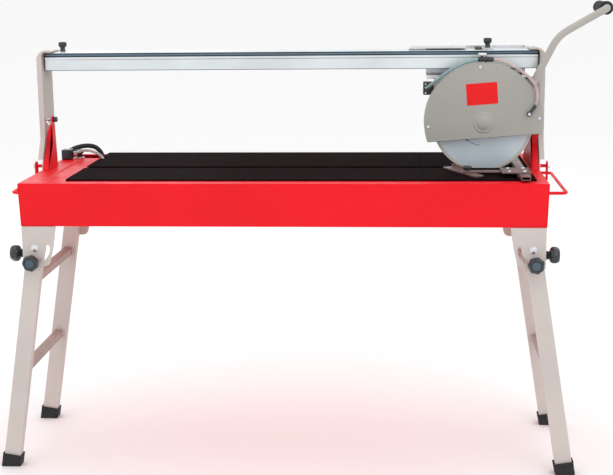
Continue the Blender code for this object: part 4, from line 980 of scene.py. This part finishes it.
def make_valve():
    """The tap on the guard's crown: ribbed collars, a round body and a pale lever."""
    low, high, middle = span("water_valve")
    y, z = middle.y, BLADE_CENTRE.z + 0.1545
    lever = Matrix.Translation((BLADE_CENTRE.x - 0.0060, y, z))
    place = facing((low.x, y, z), (1, 0, 0))
    length = high.x - low.x
    profile = [(0.0038, -0.0008), (0.0052, -0.0008), (0.0062, 0.0004)]
    for i in range(5):
        profile += [(0.0066, 0.0010 + 0.0020 * i), (0.0060, 0.0020 + 0.0020 * i)]
    profile += [(0.0056, 0.0130), (0.0056, 0.0150), (0.0076, 0.0156), (0.0078, 0.0165), (0.0078, 0.0185),
                (0.0076, 0.0194), (0.0056, 0.0200), (0.0056, 0.0215)]
    for i in range(6):
        profile += [(0.0066, 0.0226 + 0.0020 * i), (0.0060, 0.0236 + 0.0020 * i)]
    profile += [(0.0058, length), (0.0038, length)]
    bm = bmesh.new()
    lathe(bm, profile, place, 48)
    lathe(bm, [(0.0034, 0.0050), (0.0034, 0.0118), (0.0030, 0.0122), (0, 0.0122)], lever, 24)
    dress("water_valve", "_finish", bm, "knob_plastic")
    bm = bmesh.new()
    block(bm, (BLADE_CENTRE.x - 0.0150, y - 0.0040, z + 0.0112),
          (BLADE_CENTRE.x + 0.0050, y + 0.0040, z + 0.0152), 0.0013)
    lathe(bm, [(0.0044, 0.0096), (0.0048, 0.0100), (0.0048, 0.0120)], lever, 24)
    dress("water_valve", "_lever", bm, "white_plastic")


def make_hose_clips():
    """Three small clips that hold the branch hose to the guard's edge."""
    bm = bmesh.new()
    for angle, depth in ((60.5, -0.02635), (53.5, -0.02935), (46.5, -0.03285)):
        turn = math.radians(angle)
        spot = on_head(0.1515 * math.cos(turn), 0.1515 * math.sin(turn), depth)
        along = Vector((-math.sin(turn), 0, math.cos(turn)))
        lathe(bm, [(0.0040, -0.0016), (0.0047, -0.0016), (0.0047, 0.0016), (0.0040, 0.0016), (0.0040, -0.0016)],
              facing(spot, along), 28)
    piece("hose_clips", bm, "head", "black_plastic")


def make_nozzle():
    refined("water_nozzle", 0.0003, "knob_plastic")
    low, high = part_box("water_nozzle")
    spot = Vector((low.x + 0.0060, low.y, low.z + 0.0060))
    bm = bmesh.new()
    lathe(bm, [(0, 0.0004), (0.0022, 0.0004), (0.0026, 0.0009), (0.0036, 0.0009), (0.0040, 0.0003),
               (0.0040, -0.0006)], facing(spot, -Y), 32)
    dress("water_nozzle", "_ring", bm, "fastener", 50)


def make_water_deck():
    """The connector block with a screw and hose collars, and the pump with its strainer slots."""
    refined("hose_block", 0.0003, "black_plastic")
    refined("water_pump", 0.0006, "black_plastic")
    low, high, middle = span("hose_block")
    bm = bmesh.new()
    collar = [(0.0068, 0.0030), (0.0082, 0.0030), (0.0088, 0.0024), (0.0088, 0.0002), (0.0068, 0.0002),
              (0.0068, 0.0030)]
    lathe(bm, collar, facing((middle.x - 0.0005, high.y - 0.0002, 0.733), Y), 36)
    slimmer = [(r - 0.0024, h) for r, h in collar]
    lathe(bm, slimmer, facing((high.x - 0.0002, middle.y, 0.732), (1, 0, 0)), 36)
    piece("hose_collars", bm, "base", "black_plastic", crease=35)
    fixings("hose_block_screw", "base", pan_head, (0.0042, 0.0022),
            [Matrix.Translation((middle.x, middle.y, high.z))])
    pump_low, pump_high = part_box("water_pump")
    bm = bmesh.new()
    for i in range(7):
        z = pump_low.z + 0.008 + 0.004 * i
        block(bm, (pump_low.x + 0.008, pump_low.y - 0.0008, z),
              (pump_high.x - 0.008, pump_low.y + 0.0006, z + 0.0018), 0.0004)
    piece("pump_strainer", bm, "base", "black_plastic")


# ---------------------------------------------------------------- fence

def make_fence():
    """Guide tube with scale marks, slider with its screws, mitre arm and a knurled knob."""
    refined("fence_guide", 0.0010)
    refined("fence_slider", 0.0005)
    refined("mitre_arm", 0.0005)
    low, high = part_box("fence_guide")
    bm = bmesh.new()
    marks = 30
    for i in range(marks):
        y = low.y + 0.012 + (high.y - low.y - 0.024) * i / (marks - 1)
        reach = 0.008 if i % 5 == 0 else 0.005
        block(bm, (high.x - 0.0015 - reach, y - 0.0003, high.z - 0.0001),
              (high.x - 0.0015, y + 0.0003, high.z + 0.0001))
    piece("fence_marks", bm, "base", "white_plastic")
    slide_low, slide_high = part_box("fence_slider")
    bm = bmesh.new()
    for y in (slide_low.y + 0.015, slide_high.y - 0.015):
        pan_head(bm, Matrix.Translation((slide_high.x - 0.014, y, slide_high.z)), 0.0046, 0.0030)
        pan_head(bm, Matrix.Translation((slide_high.x - 0.050, y, slide_high.z)), 0.0036, 0.0024)
    piece("fence_slider_screws", bm, "fence_slide", "fastener", crease=30)
    low, high, middle = span("fence_knob")
    radius, height = 0.5 * (high.x - low.x), high.z - low.z
    foot = 0.0065
    crown = height - foot
    waist = 0.32 * crown
    bm = bmesh.new()
    lathe(bm, [(0, crown - 0.0012), (0.5, crown - 0.0010), (0.6, crown - 0.0001), (0.86, crown - 0.0004, 0.0004),
               (1, crown - 0.0020, 0.0009), (1, waist + 0.0012, 0.0009), (0.92, waist + 0.0004, 0.0006),
               (0.66, waist), (0.62, 0.0008), (0.66, 0), (0.36, 0), (0.36, -foot), (0, -foot)],
          Matrix.Translation((middle.x, middle.y, low.z + foot)), 96, 16, radius)
    dress("fence_knob", "_finish", bm, "knob_plastic", 42)


# ---------------------------------------------------------------- camera, light and floor

CAMERA_PLACE = Vector((0.2265, -3.1728, 1.1875))
CAMERA_YAW, CAMERA_PITCH, CAMERA_ROLL = math.radians(4.103), math.radians(11.561), -0.0108
CAMERA_LENS = 74.44


def make_camera():
    forward = Vector((-math.sin(CAMERA_YAW) * math.cos(CAMERA_PITCH), math.cos(CAMERA_YAW) * math.cos(CAMERA_PITCH),
                      -math.sin(CAMERA_PITCH)))
    right = Vector((math.cos(CAMERA_YAW), math.sin(CAMERA_YAW), 0))
    up = right.cross(forward)
    c, s = math.cos(CAMERA_ROLL), math.sin(CAMERA_ROLL)
    right, up = right * c + up * s, up * c - right * s
    data = bpy.data.cameras.new("camera")
    data.sensor_width = 36.0
    data.lens = CAMERA_LENS
    camera = bpy.data.objects.new("camera", data)
    turn = Matrix((right, up, -forward)).transposed().to_4x4()
    camera.matrix_world = Matrix.Translation(CAMERA_PLACE) @ turn
    bpy.context.scene.collection.objects.link(camera)
    bpy.context.scene.camera = camera


def area_light(name, place, target, size, power):
    data = bpy.data.lights.new(name, "AREA")
    data.shape = "RECTANGLE"
    data.size, data.size_y = size
    data.energy = power
    light = bpy.data.objects.new(name, data)
    direction = Vector(target) - Vector(place)
    light.matrix_world = Matrix.Translation(place) @ direction.to_track_quat("-Z", "Y").to_matrix().to_4x4()
    bpy.context.scene.collection.objects.link(light)


def make_studio():
    area_light("key_light", (2.2, -3.2, 3.4), (0, 0, 0.6), (2.6, 2.6), 26.0)
    area_light("fill_light", (-3.4, -2.4, 1.8), (0, 0, 0.6), (2.4, 2.4), 10.0)
    area_light("top_light", (0.0, 0.6, 3.6), (0, 0, 0.7), (3.6, 2.2), 14.0)
    area_light("back_light", (-1.8, 3.4, 2.4), (0, 0, 0.7), (2.4, 1.8), 14.0)
    world = bpy.data.worlds.new("studio")
    world.use_nodes = True
    background = world.node_tree.nodes["Background"]
    background.inputs["Color"].default_value = (1.0, 1.0, 1.0, 1.0)
    background.inputs["Strength"].default_value = 1.03
    bpy.context.scene.world = world
    bpy.context.scene.view_settings.view_transform = "Standard"


def make_floor():
    """A wide pale floor that curves up into a backdrop far behind."""
    bm = bmesh.new()
    half, bend = 30.0, 6.0
    line = [(-half, 0.0), (half - bend, 0.0)]
    line += [(half - bend + bend * math.sin(a), bend - bend * math.cos(a))
             for a in (0.5 * math.pi * i / 16 for i in range(1, 17))]
    rows = [[bm.verts.new((x, y, z)) for y, z in line] for x in (-half, half)]
    for i in range(len(line) - 1):
        bm.faces.new((rows[0][i], rows[1][i], rows[1][i + 1], rows[0][i + 1]))
    mesh = bpy.data.meshes.new("floor")
    bm.to_mesh(mesh)
    bm.free()
    mesh.shade_smooth()
    floor = bpy.data.objects.new("floor", mesh)
    bpy.context.scene.collection.objects.link(floor)
    plain("floor_pale", (0.92, 0.92, 0.92), 0.85)
    mesh.materials.append(MATERIALS["floor_pale"])


make_materials()
for node, obj in frame["nodes"].items():
    obj.data.materials.clear()
    obj.data.materials.append(MATERIALS[SLOT_OF[node]])
make_knobs()
make_tray()
make_carry_handles()
make_tilt_brackets()
make_legs()
make_gantry()
make_carriage()
make_guard_cover()
make_guard_body()
make_label()
make_blade()
make_motor()
make_switch_box()
make_handle()
make_hoses()
make_valve()
make_hose_clips()
make_nozzle()
make_water_deck()
make_fence()
make_camera()
make_studio()
make_floor()
